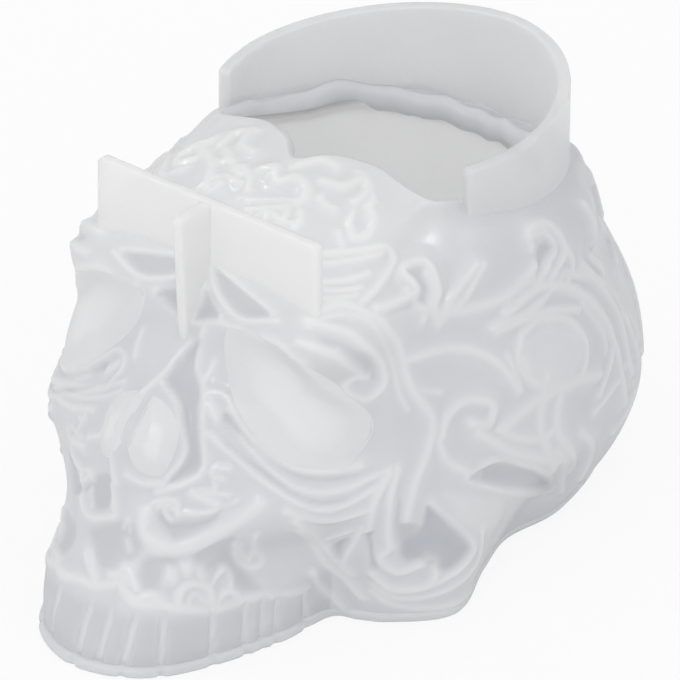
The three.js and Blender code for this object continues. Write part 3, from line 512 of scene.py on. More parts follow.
# shallow fields between the lines: (depth mm, milkiness, outline as [u, v] corners); a negative milkiness
# greys a hollow, partly as thinner silicone and partly as painted shade, and the slit is painted darkest as
# the shade in its crevice
fields = {
    "lens": (1.2, -0.7, [(7.2, 2.84), (7.7, 2.86), (8.05, 2.54), (8.5, 2.04), (9.3, 1.06), (7.95, 2.04),
                         (7.5, 2.5)]),
    "diamond": (0.9, -0.9, [(6.6, 2.66), (7.15, 1.54), (6.75, 1.08), (6.45, 1.44), (6.2, 1.5),
                            (6.15, 1.9), (6.45, 2.22)]),
    "besideNose": (0.9, -0.6, [(0.3, 5.1), (0.6, 5.32), (0.7, 4.96), (1.2, 4.62), (1.6, 3.96),
                               (1.65, 3.6), (1.1, 3.34), (1.3, 3.68), (1.3, 3.94), (0.8, 4.42),
                               (0.25, 4.58), (0.1, 4.74)]),
    "overTeeth": (0.5, -0.5, [(1.1, 2.22), (2.1, 2.26), (2.75, 2.58), (3.2, 2.06), (3.45, 1.72),
                              (3.65, 1.28), (3.25, 1.4), (2.95, 1.92), (2.7, 1.72), (2.2, 2.16),
                              (1.7, 1.94), (1.6, 1.7), (1.2, 1.68), (0.95, 1.9)]),
    "underNose": (0.4, -0.4, [(-0.55, 2.32), (0.3, 2.68), (0.7, 2.58), (0.95, 2.32), (0.6, 2),
                              (0.05, 1.8), (-0.3, 2.04)]),
    "browAlmond": (0.9, -0.5, [(0.1, 6.58), (0.55, 6.52), (1.8, 6.36), (2.25, 6.26), (1.5, 6.04),
                               (0.95, 6.1), (0.45, 6.26)]),
    "browTriangle": (1.0, -0.8, [(0.2, 6.2), (0.15, 5.54), (0.85, 5.88)]),
    "bandOverScroll": (0.7, -0.5, [(1.8, 4.3), (2.7, 3.94), (3.65, 3.56), (4.8, 3.46), (5.55, 3.56),
                                   (4.8, 3.56), (3.65, 3.64), (2.7, 4), (2, 4.36)]),
    "bandUnderScroll": (0.8, -0.6, [(2, 4.04), (2.9, 3.66), (3.8, 3.3), (4.8, 3.2), (5.55, 3.34),
                                    (4.85, 3.12), (3.85, 3.22), (2.9, 3.56), (2.1, 3.92)]),
    "insideScroll": (1.0, -0.5, [(1, 2.9), (1.35, 2.78), (2, 2.88), (2.2, 3), (2.15, 2.76), (1.65, 2.52),
                                 (1.3, 2.6), (1.05, 2.74)]),
    "scrollEnd": (0.6, -0.4, [(2.2, 3.14), (2.45, 3.24), (2.35, 3.1), (2.2, 3.02)]),
    "smoothCheek": (0, 0.3, [(6.8, 2.8), (7.5, 2.34), (7.85, 1.82), (7.75, 1.32), (7.3, 1.62),
                             (6.95, 2.28)]),
    "betweenFolds": (0.7, -0.5, [(6.1, 2.94), (6.2, 2.46), (6.45, 2.22), (6.15, 1.9), (6.05, 2.52)]),
    "slit": (2.2, -1.0, [(5.6, 2.32), (5.7, 1.84), (5.7, 1.42), (5.76, 1.38), (5.74, 1.84), (5.66, 2.3)]),
    "fanGap": (1.0, -0.7, [(5.05, 1.92), (5.35, 2.16), (5.15, 1.58)]),
    "insideOverEye": (0.7, -0.4, [(3.55, 6.14), (4.25, 6.04), (4.95, 5.68), (5.35, 5.22), (5.5, 4.96),
                                  (5.25, 4.96), (4.35, 5.74), (3.65, 5.98)]),
    "insideTemple": (0.6, -0.3, [(5.95, 6.68), (6.35, 6.64), (6.7, 6.12), (6.55, 5.92), (5.4, 6.24),
                                 (6.4, 6.2), (6.2, 6.52)]),
    "insideSide": (0.7, -0.5, [(8.5, 6.06), (8.7, 6.22), (8.8, 5.92), (8.5, 5.62)]),
    "insideBoss": (-0.4, 0.25, [(8.15, 4.58), (8.6, 4.6), (9.05, 4.22), (9.15, 3.84), (9, 3.6),
                                (8.55, 3.72), (8.2, 4.02), (8.05, 4.36)]),
    "noseLobe": (0.8, -0.6, [(-0.95, 2.78), (-0.9, 3.04), (-0.4, 3.22), (-0.15, 2.96), (-0.25, 2.7),
                             (-0.7, 2.6)]),
}

# gaps between the teeth, by their course in u and v
toothGaps = [
    [(-2.62, 1.2), (-2.62, 0)], [(-1.75, 1.25), (-1.75, 0)], [(-0.82, 1.36), (-0.92, 0.9), (-1.02, 0.1)],
    [(0.05, 1.46), (0, 0.9), (-0.08, 0)], [(0.57, 1.56), (0.54, 1.1), (0.44, 0.1)],
    [(1.18, 1.4), (1.09, 0.88), (1.02, 0)], [(1.72, 1.4), (1.77, 1), (1.86, 0)],
    [(2.7, 1.25), (2.73, 0.84), (2.82, 0)], [(3.3, 1.12), (3.34, 0.5), (3.36, 0)],
    [(3.62, 1.1), (3.64, 0.5), (3.62, 0)], [(3.87, 1), (3.88, 0.5), (3.86, 0)],
    [(4.4, 0.9), (4.44, 0.4), (4.44, 0)],
]
# slopes are mm from a gap's line, rows and columns count outlines and columns of the skin
# the tooth gaps are painted whiter than the panels, partly as thicker silicone and partly as painted light
# that cancels the gaps' shade
tooth = {"depth": 1.1, "milkAndPaintedLight": 0.5, "panelMilk": -0.4, "gapSlope": (0.1, 1.7), "milkSlope": (0.3, 1.2),
         "topRows": (1.05, 1.4), "searchRow": 1.8, "mirrorFrom": 2.6, "lastColumn": 4.9}

# a line is a sharp crest on a soft flank, whose slopes count its half width; a field's slopes are mm; crest
# and flank are painted whiter, partly as thicker milky silicone and partly as a painted highlight
relief = {"halfShare": 0.62, "search": 5, "crestSlope": (0.1, 1.5), "flankSlope": (0.2, 3.6),
          "crest": 0.6, "flank": 0.4, "crestMilkAndHighlight": 0.3, "flankMilkAndHighlight": 0.2,
          "fieldSlope": (-0.6, 1.4), "fieldMilkSlope": (-1.0, 2.2), "fieldSearch": 1.0}

# which lines and fields are carved on both sides: well aside, or near the middle of the brow
mirroring = {"meanColumn": 1, "leastColumn": 0.9, "middleColumn": 0.1, "browRows": (5.4, 7)}

# painted light: the skin is painted lighter on the crown and darker on the sides, as the light that falls
# from above and in front
paintedLight = {"crownPaintedLight": 0.5, "crownRows": (5.0, 7.0), "crownColumns": (4.5, 8.5),
        "sidePaintedShade": -0.3, "sideColumns": (7.0, 11.0)}

# soft rises and dips of the skin under the carving, on both sides: u, v, reach and height in mm
swells = [(3.9, 5.1, 11, 3.2), (5.1, 3.6, 8, -1.8), (11.4, 5.1, 9, 2.4), (11.4, 7.0, 6, 1.8),
          (11.2, 2.2, 12, -1.0)]

# the camera sees the columns from seenFrom to seenTo, which get seenShare of the mesh
skinMesh = {
    "columns": 520, "rows": 170, "innerRows": 12, "crestRows": 6,
    "seenFrom": -2.4, "seenTo": 12.6, "seenShare": 0.75, "evenAtRow": 3.4, "evenAtColumn": 4.5,
    "rearColumns": (9.5, 11.5), "rearInset": 0.9, "widthKnee": 59.4, "widthLimit": 60.8, "rearKnee": 2,
    "lipWaves": [(16.4, 0.45, 2.2), (17.2, 0.3, 1.0), (15.3, 0.3, 0.9), (14.2, 0.35, 1.4), (13.3, 0.3, 1.2),
                 (12.6, 0.25, 1.4), (11.6, 0.3, 1.0), (18.2, 0.3, 0.9)],  # column, width and height in mm
    "lipTurn": 2.6, "lipDepth": 6, "lipWall": 3.25, "startHeight": 1.6,
    "aroundSamples": 200, "upSamples": 300,
}
rearLimit = cadBounds[1][1] * 1000 - yShift


def walked(path):
    return np.concatenate([[0], np.cumsum(np.linalg.norm(np.diff(path, axis=0), axis=1))])


def spreadAlong(points, values, count):
    walk = walked(points)
    return np.interp(np.linspace(0, walk[-1], count + 1), walk, values)


# mesh columns, even along the skin in the part that is seen and in the rest
def aroundColumns(total, share):
    samples = skinMesh["aroundSamples"]
    seen = np.linspace(skinMesh["seenFrom"], skinMesh["seenTo"], samples)
    rest = np.linspace(skinMesh["seenTo"], skinMesh["seenFrom"] + ringCount, samples)
    seenCount = round(total * share)
    row = skinMesh["evenAtRow"]
    return np.concatenate([spreadAlong(plainSkin(seen, row), seen, seenCount),
                           spreadAlong(plainSkin(rest, row), rest, total - seenCount)[1:]])


def upRows(count):
    v = np.linspace(0, topRow, skinMesh["upSamples"])
    return spreadAlong(plainSkin(skinMesh["evenAtColumn"], v), v, count)


# a smooth course through the given corners, as u and v and as points on the skin
def courseOnSkin(corners, closed=False, parts=5):
    pts = np.array(corners, float)
    if closed:
        ext = np.concatenate([pts[-1:], pts, pts[:2]])
    else:
        ext = np.concatenate([2 * pts[:1] - pts[1:2], pts, 2 * pts[-1:] - pts[-2:-1]])
    t = np.linspace(0, 1, parts + 1)[:-1, None]
    course = [blendPoints(*ext[k:k + 4], t) for k in range(len(ext) - 3)]
    course = np.concatenate(course + [ext[-2:-1]])
    return course, plainSkin(course[:, 0], np.clip(course[:, 1], 0, topRow))


def near(points, path, reach):
    low, high = path.min(axis=0) - reach, path.max(axis=0) + reach
    return np.nonzero(((points > low) & (points < high)).all(axis=1))[0]


def mirrored(corners):
    return [(-u, v) for u, v in corners]


def bothSides(corners):
    u, v = zip(*corners)
    browFrom, browTo = mirroring["browRows"]
    wellAside = sum(u) / len(u) > mirroring["meanColumn"] and min(map(abs, u)) > mirroring["leastColumn"]
    byMiddle = min(u) >= mirroring["middleColumn"] and browFrom < min(v) and max(v) < browTo
    return [corners, mirrored(corners)] if wellAside or byMiddle else [corners]


def addLines(points, ridge, milkAndPaintedLight):
    for width, height, corners in (one for motif in carvings.values() for one in motif):
        for side in bothSides(corners):
            path = courseOnSkin(side)[1]
            half = width * relief["halfShare"]
            k = near(points, path, half * relief["search"])
            away = distanceTo(points[k], path) / half
            crest = 1 - smoothStep(*relief["crestSlope"], away)
            flank = 1 - smoothStep(*relief["flankSlope"], away)
            ridge[k] = np.maximum(ridge[k], height * (relief["crest"] * crest + relief["flank"] * flank))
            # ridges painted whiter: partly thicker, milkier silicone, partly a painted highlight along the
            # crest
            milkAndPaintedLight[k] = np.maximum(milkAndPaintedLight[k], relief["crestMilkAndHighlight"] * crest + relief["flankMilkAndHighlight"] * flank)


def addFields(points, turned, v, hollow, milkAndPaintedLight):
    for depth, milkAndPaintedLightChange, corners in fields.values():
        for side in bothSides(corners):
            course, path = courseOnSkin(side, closed=True)
            k = near(points, path, relief["fieldSearch"])
            away = distanceTo(points[k], path) * np.where(insideCourse(turned[k], v[k], course), 1, -1)
            hollow[k] += depth * smoothStep(*relief["fieldSlope"], away)
            # hollows painted greyer: partly thinner silicone, partly painted shade
            milkAndPaintedLight[k] += milkAndPaintedLightChange * smoothStep(*relief["fieldMilkSlope"], away)


def addSwells(points, hollow):
    for column, row, reach, height in swells:
        for side in (1, -1):
            away = np.linalg.norm(points - plainSkin(side * column, row), axis=1) / reach
            hollow -= height * np.exp(-away ** 2)


def addPaintedLight(aside, v, milkAndPaintedLight):
    onTop = smoothStep(*paintedLight["crownRows"], v) * (1 - smoothStep(*paintedLight["crownColumns"], aside))
    # painted light on the crown and painted shade on the sides
    milkAndPaintedLight += paintedLight["crownPaintedLight"] * onTop
    milkAndPaintedLight += paintedLight["sidePaintedShade"] * smoothStep(*paintedLight["sideColumns"], aside)


def addTeeth(points, aside, v, hollow, milkAndPaintedLight):
    low = np.nonzero(v < tooth["searchRow"])[0]
    toGap = np.full(len(points), np.inf)
    onBothSides = [mirrored(corners) for corners in toothGaps if corners[0][0] > tooth["mirrorFrom"]]
    for corners in toothGaps + onBothSides:
        toGap[low] = np.minimum(toGap[low], distanceTo(points[low], courseOnSkin(corners)[1]))
    band = (1 - smoothStep(*tooth["topRows"], v)) * (aside < tooth["lastColumn"])
    hollow += band * tooth["depth"] * (1 - smoothStep(*tooth["gapSlope"], toGap))
    inGap = 1 - smoothStep(*tooth["milkSlope"], toGap)
    # gaps painted whiter: thicker silicone and painted light against their shade; panels greyer
    milkAndPaintedLight += band * (tooth["panelMilk"] + (tooth["milkAndPaintedLight"] - tooth["panelMilk"]) * inGap)


# height of the carving in mm, and how milky the silicone is, with painted highlights, painted shade and
# painted light added to it
def carve(points, u, v):
    turned = np.where(u > ringCount / 2, u - ringCount, u)
    aside = np.abs(turned)
    ridge, hollow, milkAndPaintedLight = np.zeros((3, len(points)))
    addLines(points, ridge, milkAndPaintedLight)
    addFields(points, turned, v, hollow, milkAndPaintedLight)
    hollow += skinMesh["rearInset"] * smoothStep(*skinMesh["rearColumns"], aside)
    addSwells(points, hollow)
    addPaintedLight(aside, v, milkAndPaintedLight)
    addTeeth(points, aside, v, hollow, milkAndPaintedLight)
    return ridge - hollow, milkAndPaintedLight


topFront, topRear = (skull["halves"][-1][k][1] for k in (0, -1))
cupMiddle = np.array([0, (topFront + topRear) / 2, 0])


def towardsCup(points):
    way = cupMiddle - points
    way[..., 2] = 0
    return unit(way)


def lipPoint(edge, reach, drop):
    return edge + towardsCup(edge) * reach - np.array([0, 0, drop])


# eases what passes the knee towards the limit, so that the carving stays inside the CAD model
def eased(values, knee, limit):
    past = np.maximum(np.abs(values) - knee, 0)
    return np.sign(values) * (np.abs(values) - past + (limit - knee) * (1 - np.exp(-past / (limit - knee))))


def outerRows(u, v):
    allU, allV = (part.ravel() for part in np.meshgrid(u, v))
    base = plainSkin(allU, allV)
    height, milkAndPaintedLight = carve(base, allU, allV)
    places = base + skinNormal(allU, allV) * (height - socketDepth(base))[:, None]
    places[:, 0] = eased(places[:, 0], skinMesh["widthKnee"], skinMesh["widthLimit"])
    places[:, 1] = eased(places[:, 1], rearLimit - skinMesh["rearKnee"], rearLimit)
    places = places.reshape(len(v), len(u), 3)
    places[0, :, 2] = skinMesh["startHeight"]
    for column, width, rise in skinMesh["lipWaves"]:
        places[-1, :, 2] += rise * np.exp(-((u - column) / width) ** 2)
    return places, milkAndPaintedLight.reshape(len(v), len(u))


# over the crest, down the face that the cup hangs on, and back under it to the skin's inside
def lipRows(edge):
    turn, depth = skinMesh["lipTurn"], skinMesh["lipDepth"]
    crest = [lipPoint(edge, turn * math.sin(a), turn * (1 - math.cos(a)))
             for a in np.linspace(0, math.pi / 2, skinMesh["crestRows"])[1:]]
    return crest + [lipPoint(edge, turn, depth / 2), lipPoint(edge, turn, depth),
                    lipPoint(edge, turn - skinMesh["lipWall"], depth)]


def innerRows(u):
    rows = []
    for v in np.linspace(topRow, 0, skinMesh["innerRows"] + 1):
        base = plainSkin(u, v)
        rows.append(base - skinNormal(u, v) * (hollowDepth(base) + skull["wall"])[:, None])
    rows[-1][:, 2] = skinMesh["startHeight"]
    return rows


def skinPlaces():
    u = aroundColumns(skinMesh["columns"], skinMesh["seenShare"])
    outer, milkAndPaintedLight = outerRows(u, upRows(skinMesh["rows"]))
    rest = lipRows(outer[-1]) + innerRows(u) + [outer[0]]
    return np.concatenate([outer, rest]), {"milkAndPaintedLight": np.concatenate([milkAndPaintedLight, np.zeros((len(rest), len(u)))])}


skin = gridPiece("skullSkin", *skinPlaces())
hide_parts("face_skin", "cranium_skin_left", "cranium_skin_right", "cranium_skin_rear", "crown_lip",
            "tooth_band")
print("skin:", len(skin.data.polygons), "faces")

# bead round the open base, which follows the carving over it by carvedShare
rim = {"columns": 360, "seenShare": 0.7, "proud": 1.2, "height": 3.0, "wall": 3.25, "roundParts": 10,
       "carvedShare": 0.7}


def rimPlaces():
    u = aroundColumns(rim["columns"], rim["seenShare"])
    plain = plainSkin(u, 0)
    normal = skinNormal(u, 0)
    normal[:, 2] = 0
    normal = unit(normal)
    carved = plain + normal * carve(plain, u, np.zeros(len(u)))[0][:, None] * rim["carvedShare"]
    rows = []
    for a in np.linspace(-math.pi / 2, math.pi / 2, rim["roundParts"] + 1):
        rows.append(carved + normal * (rim["proud"] * math.cos(a)))
        rows[-1][:, 2] = rim["height"] / 2 * (1 + math.sin(a))
    for z in (rim["height"], 0):
        rows.append(plain - normal * rim["wall"])
        rows[-1][:, 2] = z
    return np.array(rows + [rows[0]])


pourRim = gridPiece("pourRim", rimPlaces())
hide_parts("pour_rim")

# cup that hangs inside the skull; bend is how much its wall curves, the drops are mm under the lip's edge
cup = {"columns": 220, "seenShare": 0.6, "wallRows": 26, "cornerRows": 8, "floorRows": 6, "wall": 3.25,
       "floor": 12, "halfWidth": 31, "halfLength": 33, "corner": 10, "bend": 0.6,
       "inFront": 0.05, "insideDrop": 0.4, "outsideDrop": 0.3, "jointDrop": 0.1}


def cupPlaces():
    u = aroundColumns(cup["columns"], cup["seenShare"])
    edge = plainSkin(u, topRow)
    inward = towardsCup(edge)
    angle = np.arctan2(-inward[:, 0] / cup["halfWidth"], -inward[:, 1] / cup["halfLength"])

    def face(extra, start):
        top = edge + inward * (skinMesh["lipTurn"] + cup["inFront"] - extra)
        startZ = edge[:, 2] - start
        floorZ = cup["floor"] + cup["wall"] - extra
        cornerZ = floorZ + cup["corner"]
        foot = cupMiddle + np.stack([(cup["halfWidth"] + extra) * np.sin(angle),
                                     (cup["halfLength"] + extra) * np.cos(angle), 0 * angle], axis=1)
        rows = []
        for t in np.linspace(0, 1, cup["wallRows"]):
            share = smoothStep(0, 1, t) * cup["bend"] + t * (1 - cup["bend"])
            rows.append(top * (1 - share) + foot * share)
            rows[-1][:, 2] = startZ * (1 - t) + cornerZ * t
        for a in np.linspace(0, math.pi / 2, cup["cornerRows"] + 1)[1:]:
            rows.append(foot + inward * cup["corner"] * (1 - math.cos(a)))
            rows[-1][:, 2] = cornerZ - cup["corner"] * math.sin(a)
        last = rows[-1]
        middle = cupMiddle + np.array([0, 0, floorZ])
        return rows + [last * (1 - t) + middle * t for t in np.linspace(0, 1, cup["floorRows"] + 1)[1:]]

    inside = face(0, skinMesh["lipTurn"] + cup["insideDrop"])
    outside = face(cup["wall"], skinMesh["lipDepth"] + cup["outsideDrop"])
    joint = edge + inward * skinMesh["lipTurn"]
    joint[:, 2] = edge[:, 2] - skinMesh["lipDepth"] - cup["jointDrop"]
    return np.array([joint] + inside + outside[::-1] + [joint])


coreCup = gridPiece("coreCup", cupPlaces())
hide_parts("core_cup")
print("rim and cup built")

# stand: walls that rise from the skin, drawn by their middle line
skinTree = BVHTree.FromObject(skin, bpy.context.evaluated_depsgraph_get())
stand = {"top": 110.6, "sink": 3, "rayFrom": 200, "levels": 14, "edge": 0.6, "edgeShare": 0.8,
         "edgeParts": 3, "endRound": 1.0, "endColumns": 9, "leastHalf": 0.02}


def skinHeight(x, y, lowest):
    place = toRow(np.array([x, y, stand["rayFrom"]]))
    hit = skinTree.ray_cast(Vector(place), Vector((0, 0, -1)))[0]
    return max(hit[2] * 1000 - stand["sink"], lowest) if hit else lowest


# what a corner of this radius takes off at a distance from the end
def roundedOff(radius, distance):
    return radius - math.sqrt(max(radius ** 2 - (radius - min(distance, radius)) ** 2, 0))


def wallPlaces(middle, outward, half, lowest, cornerRound, lean=None):
    walk = walked(middle)
    columns = []
    for place, away, distance in zip(middle, outward, np.minimum(walk, walk[-1] - walk)):
        halfHere = max(half - roundedOff(stand["endRound"], distance), stand["leastHalf"])
        top = stand["top"] - roundedOff(cornerRound, distance)
        edge = min(stand["edge"], halfHere * stand["edgeShare"])
        sides = []
        for sign in (1, -1):
            bottom = skinHeight(*(place + away * halfHere * sign), lowest)
            column = [(halfHere, bottom + (top - edge - bottom) * t)
                      for t in np.linspace(0, 1, stand["levels"])]
            column += [(halfHere - edge * (1 - math.cos(a)), top - edge + edge * math.sin(a))
                       for a in np.linspace(0, math.pi / 2, stand["edgeParts"] + 1)[1:]]
            sides.append([[*(place + away * out * sign), z] for out, z in column])
        columns.append(sides[0] + sides[1][::-1])
    places = np.array(columns)
    if lean is not None:
        places = lean(places)
    ends = (places[[0, -1]] + places[[0, -1], ::-1]) / 2
    places = np.concatenate([ends[:1], places, ends[1:]])
    places = np.concatenate([places, places[:, :1]], axis=1)
    return places.transpose(1, 0, 2)


# distances along a wall, close together where its ends are rounded
def endPacked(length, count, span):
    inner = np.linspace(span, length - span, count)
    fine = span * (1 - np.cos(np.linspace(0, math.pi / 2, stand["endColumns"])))[:-1]
    return np.concatenate([fine, inner, (length - fine)[::-1]])


def alongPath(path, distances):
    walk = walked(path)
    return np.stack([np.interp(distances, walk, path[:, k]) for k in (0, 1)], axis=1)


# a superellipse, open for opening degrees to each side of the front
collar = {"halfWidth": 43.44, "halfLength": 52.7, "centre": 117.06, "power": 1.853, "opening": 69,
          "wall": 3.25, "lowest": 56, "cornerRound": 2.0, "columns": 190, "samples": 721,
          "tangentStep": 0.4, "endSpan": 2.2}


def collarPath():
    end = math.radians(180 - collar["opening"])
    angles = np.linspace(-end, end, collar["samples"])
    bend = 2 / collar["power"]
    half = collar["wall"] / 2
    s, c = np.sin(angles), np.cos(angles)
    x = (collar["halfWidth"] - half) * np.sign(s) * np.abs(s) ** bend
    y = collar["centre"] + (collar["halfLength"] - half) * np.sign(c) * np.abs(c) ** bend
    return np.stack([x, y], axis=1)


def collarPlaces():
    path = collarPath()
    distances = endPacked(walked(path)[-1], collar["columns"], collar["endSpan"])
    step = collar["tangentStep"]
    ahead = unit(alongPath(path, distances + step) - alongPath(path, distances - step))
    outward = np.stack([-ahead[:, 1], ahead[:, 0]], axis=1)
    return wallPlaces(alongPath(path, distances), outward, collar["wall"] / 2, collar["lowest"],
                      collar["cornerRound"])


standCollar = gridPiece("standCollar", collarPlaces())
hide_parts("stand_collar")

plate = {"halfWidth": 35.3, "thickness": 3.0, "lowest": 60, "cornerRound": 2.2, "columns": 60,
         "endSpan": 2.4}


def platePlaces():
    distances = endPacked(2 * plate["halfWidth"], plate["columns"], plate["endSpan"])
    depth = np.full(len(distances), plateFront + plate["thickness"] / 2)
    middle = np.stack([distances - plate["halfWidth"], depth], axis=1)
    outward = np.tile([0.0, -1.0], (len(middle), 1))
    return wallPlaces(middle, outward, plate["thickness"] / 2, plate["lowest"], plate["cornerRound"])


standPlate = gridPiece("standPlate", platePlaces())
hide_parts("stand_plate")

# slant is how far the fin's front edge falls back over its drop
fin = {"reach": 11.5, "slant": 2.5, "drop": 37, "thickness": 3.0, "overlap": 1, "cornerRound": 2.0,
       "columns": 14, "endSpan": 2.2}


def finPlaces():
    back = plateFront + fin["overlap"]
    distances = endPacked(fin["reach"] + fin["overlap"], fin["columns"], fin["endSpan"])
    middle = np.stack([np.zeros(len(distances)), back - distances], axis=1)
    outward = np.tile([1.0, 0.0], (len(middle), 1))

    def lean(places):
        share = (back - places[..., 1]) / (back - plateFront + fin["reach"])
        places[..., 1] += fin["slant"] * share * (stand["top"] - places[..., 2]) / fin["drop"]
        return places

    lowest = stand["top"] - fin["drop"]
    return wallPlaces(middle, outward, fin["thickness"] / 2, lowest, fin["cornerRound"], lean)


standFin = gridPiece("standFin", finPlaces())
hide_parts("stand_fin")
print("stand built")

# thick silicone in the eye sockets and nostrils: its face follows the skin, its rim runs into the carving
# insets and drops are mm in from the outline and down from the face; milk changes over milkSlope of it
block = {"columns": 120, "outlineParts": 9, "faceRows": 16, "edgeParts": 12, "crowding": 1.5, "film": 0.04,
         "soften": 9, "edgeFrom": 1, "lastInset": 0.1, "rimSteps": [(0.03, 0.15), (0, 0.6)], "below": 1,
         "fromMiddle": 0.35, "bridge": 1, "middleMilk": 0.6, "edgeMilk": 0.3, "faceShare": 0.85,
         "milkSlope": (0.45, 1), "rayFrom": 15, "rayLength": 30}
# where the plain skin is measured for a block: so many columns and rows to each side, in so many steps
sample = {"columns": (2.4, 25), "rows": (1.8, 19), "reachShare": 1.15, "range": 14, "leastColumn": 0.05}


# height of the plain skin over a hollow's own plane, as a smooth curve in both directions
def skinOver(hollow, side):
    centre, outward, longWay, highWay = hollowFrame(hollow, side)
    (wide, columns), (high, rows) = sample["columns"], sample["rows"]
    u, v = np.meshgrid(side * hollow["column"] + np.linspace(-wide, wide, columns),
                       hollow["row"] + np.linspace(-high, high, rows))
    away = plainSkin(u, v).reshape(-1, 3) - centre
    across, up, out = away @ longWay, away @ highWay, away @ outward
    reach = np.abs(np.array(hollow["outline"])).max(axis=0) * sample["reachShare"]
    over = (np.abs(across) < reach[0]) & (np.abs(up) < reach[1]) & (np.abs(out) < sample["range"])
    over &= side * u.ravel() > sample["leastColumn"]

    powers = [(0, 0), (1, 0), (0, 1), (2, 0), (1, 1), (0, 2), (3, 0), (2, 1), (1, 2), (0, 3)]

    def terms(a, b):
        return np.stack([a ** i * b ** j for i, j in powers], axis=1)

    shares = np.linalg.lstsq(terms(across[over], up[over]), out[over], rcond=None)[0]
    return lambda flat: terms(flat[:, 0], flat[:, 1]) @ shares


# how far the carved skin stands over that curve at the block's outline
def rimLift(flat, frameOfHollow, level):
    centre, outward, longWay, highWay = frameOfHollow
    lift = level(flat)
    for k, (along, up) in enumerate(flat):
        start = centre + along * longWay + up * highWay + block["rayFrom"] * outward
        hit = skinTree.ray_cast(Vector(toRow(start)), Vector(-outward), block["rayLength"] * 0.001)[0]
        if hit:
            place = np.array(hit) * 1000 - np.array([0, yShift, 0])
            lift[k] = (place - centre) @ outward
    return lift - level(flat)


def softened(values, count):
    wide = np.concatenate([values[-count - 1:-1], values, values[1:count + 1]])
    return np.convolve(wide, np.ones(2 * count + 1) / (2 * count + 1), "valid")


def blockPlaces(hollow, side):
    loop = closedCourse(hollow["outline"], block["outlineParts"])
    outline = alongPath(loop, np.linspace(0, walked(loop)[-1], block["columns"] + 1))
    frameOfHollow = hollowFrame(hollow, side)
    centre, outward, longWay, highWay = frameOfHollow
    level = skinOver(hollow, side)
    across = centre[0] + outline[:, 0] * longWay[0] + outline[:, 1] * highWay[0]
    across = across + level(outline) * outward[0]
    outline[:, 0] += np.maximum(block["bridge"] - side * across, 0) / abs(longWay[0])
    middle = outline[:-1].mean(axis=0)
    reach = np.linalg.norm(outline - middle, axis=1)
    lift = rimLift(outline, frameOfHollow, level)
    softLift = softened(lift, block["soften"])
    edge = hollow["edge"]

    def ring(inset, drop=0.0):
        flat = middle + (outline - middle) * (np.maximum(reach - inset, 0) / reach)[:, None]
        atRim = 1 - smoothStep(0, hollow["rimFade"], inset)
        nearRim = 1 - smoothStep(block["edgeFrom"], edge, inset)
        out = level(flat) + lift * atRim + softLift * (1 - atRim) * nearRim
        out = out + hollow["proud"] * smoothStep(0, edge, inset) + block["film"] - drop
        places = centre + flat[:, :1] * longWay + flat[:, 1:] * highWay + out[:, None] * outward
        places[:, 0] = side * np.maximum(side * places[:, 0], block["fromMiddle"])
        return places

    last = block["lastInset"]
    rows = [ring(reach * (1 - t) + edge * t) for t in np.linspace(0, 1, block["faceRows"])]
    rows += [ring(last + (edge - last) * (1 - t) ** block["crowding"])
             for t in np.linspace(0, 1, block["edgeParts"] + 1)[1:]]
    bottom = hollow["socket"] + hollow["proud"] + block["below"]
    rows += [ring(*step) for step in block["rimSteps"]] + [ring(0, bottom), ring(reach, bottom)]
    share = np.concatenate([np.linspace(0, block["faceShare"], block["faceRows"]),
                            np.ones(len(rows) - block["faceRows"])])
    fade = smoothStep(*block["milkSlope"], share)
    milkAndPaintedLight = block["middleMilk"] - (block["middleMilk"] - block["edgeMilk"]) * fade
    return np.array(rows), {"milkAndPaintedLight": np.repeat(milkAndPaintedLight[:, None], len(outline), axis=1)}


for kind, hollow in (("eye", eye), ("nostril", nostril)):
    for word, side in (("left", 1), ("right", -1)):
        piece = gridPiece(f"{kind}Block{word.capitalize()}", *blockPlaces(hollow, side))
        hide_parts(f"{kind}_block_{word}")
print("blocks built")


# materials
def linearColour(code):
    parts = [int(code[k:k + 2], 16) / 255 for k in (1, 3, 5)]
    return [c / 12.92 if c <= 0.04045 else ((c + 0.055) / 1.055) ** 2.4 for c in parts] + [1]


def addNode(tree, kind, settings=None, links=None):
    node = tree.nodes.new(kind)
    for key, value in (settings or {}).items():
        if isinstance(key, str) and hasattr(node, key):
            setattr(node, key, value)
        else:
            node.inputs[key].default_value = value
    for key, socket in (links or {}).items():
        tree.links.new(socket, node.inputs[key])
    return node


# silicone rubber, cast: a soft gloss, faint clouds about 25 mm wide, and a grain of about 1 mm, which is
# coarser than the real one so that it shows; both scales count repeats per metre
silicone = {"thinAndShadeColour": "#aeb2ba", "middleColour": "#d5d6d9", "thickAndLitColour": "#f1f1f1", "milkShare": 0.42,
            "roughness": 0.37, "roughnessSpread": (-0.06, 0.08), "glossRoughness": 0.16, "index": 1.41,
            "scatter": 0.6, "scatterLength": 0.005, "scatterRadius": (0.9, 0.95, 1.0),
            "cloudScale": 40.0, "cloudDetail": 3.0, "cloudRoughness": 0.55, "cloudDepth": 0.16,
            "cloudRange": (0.3, 0.7), "grainScale": 900.0, "grainDetail": 2.0, "grainHeight": 0.0002,
            "grainStrength": 0.25}
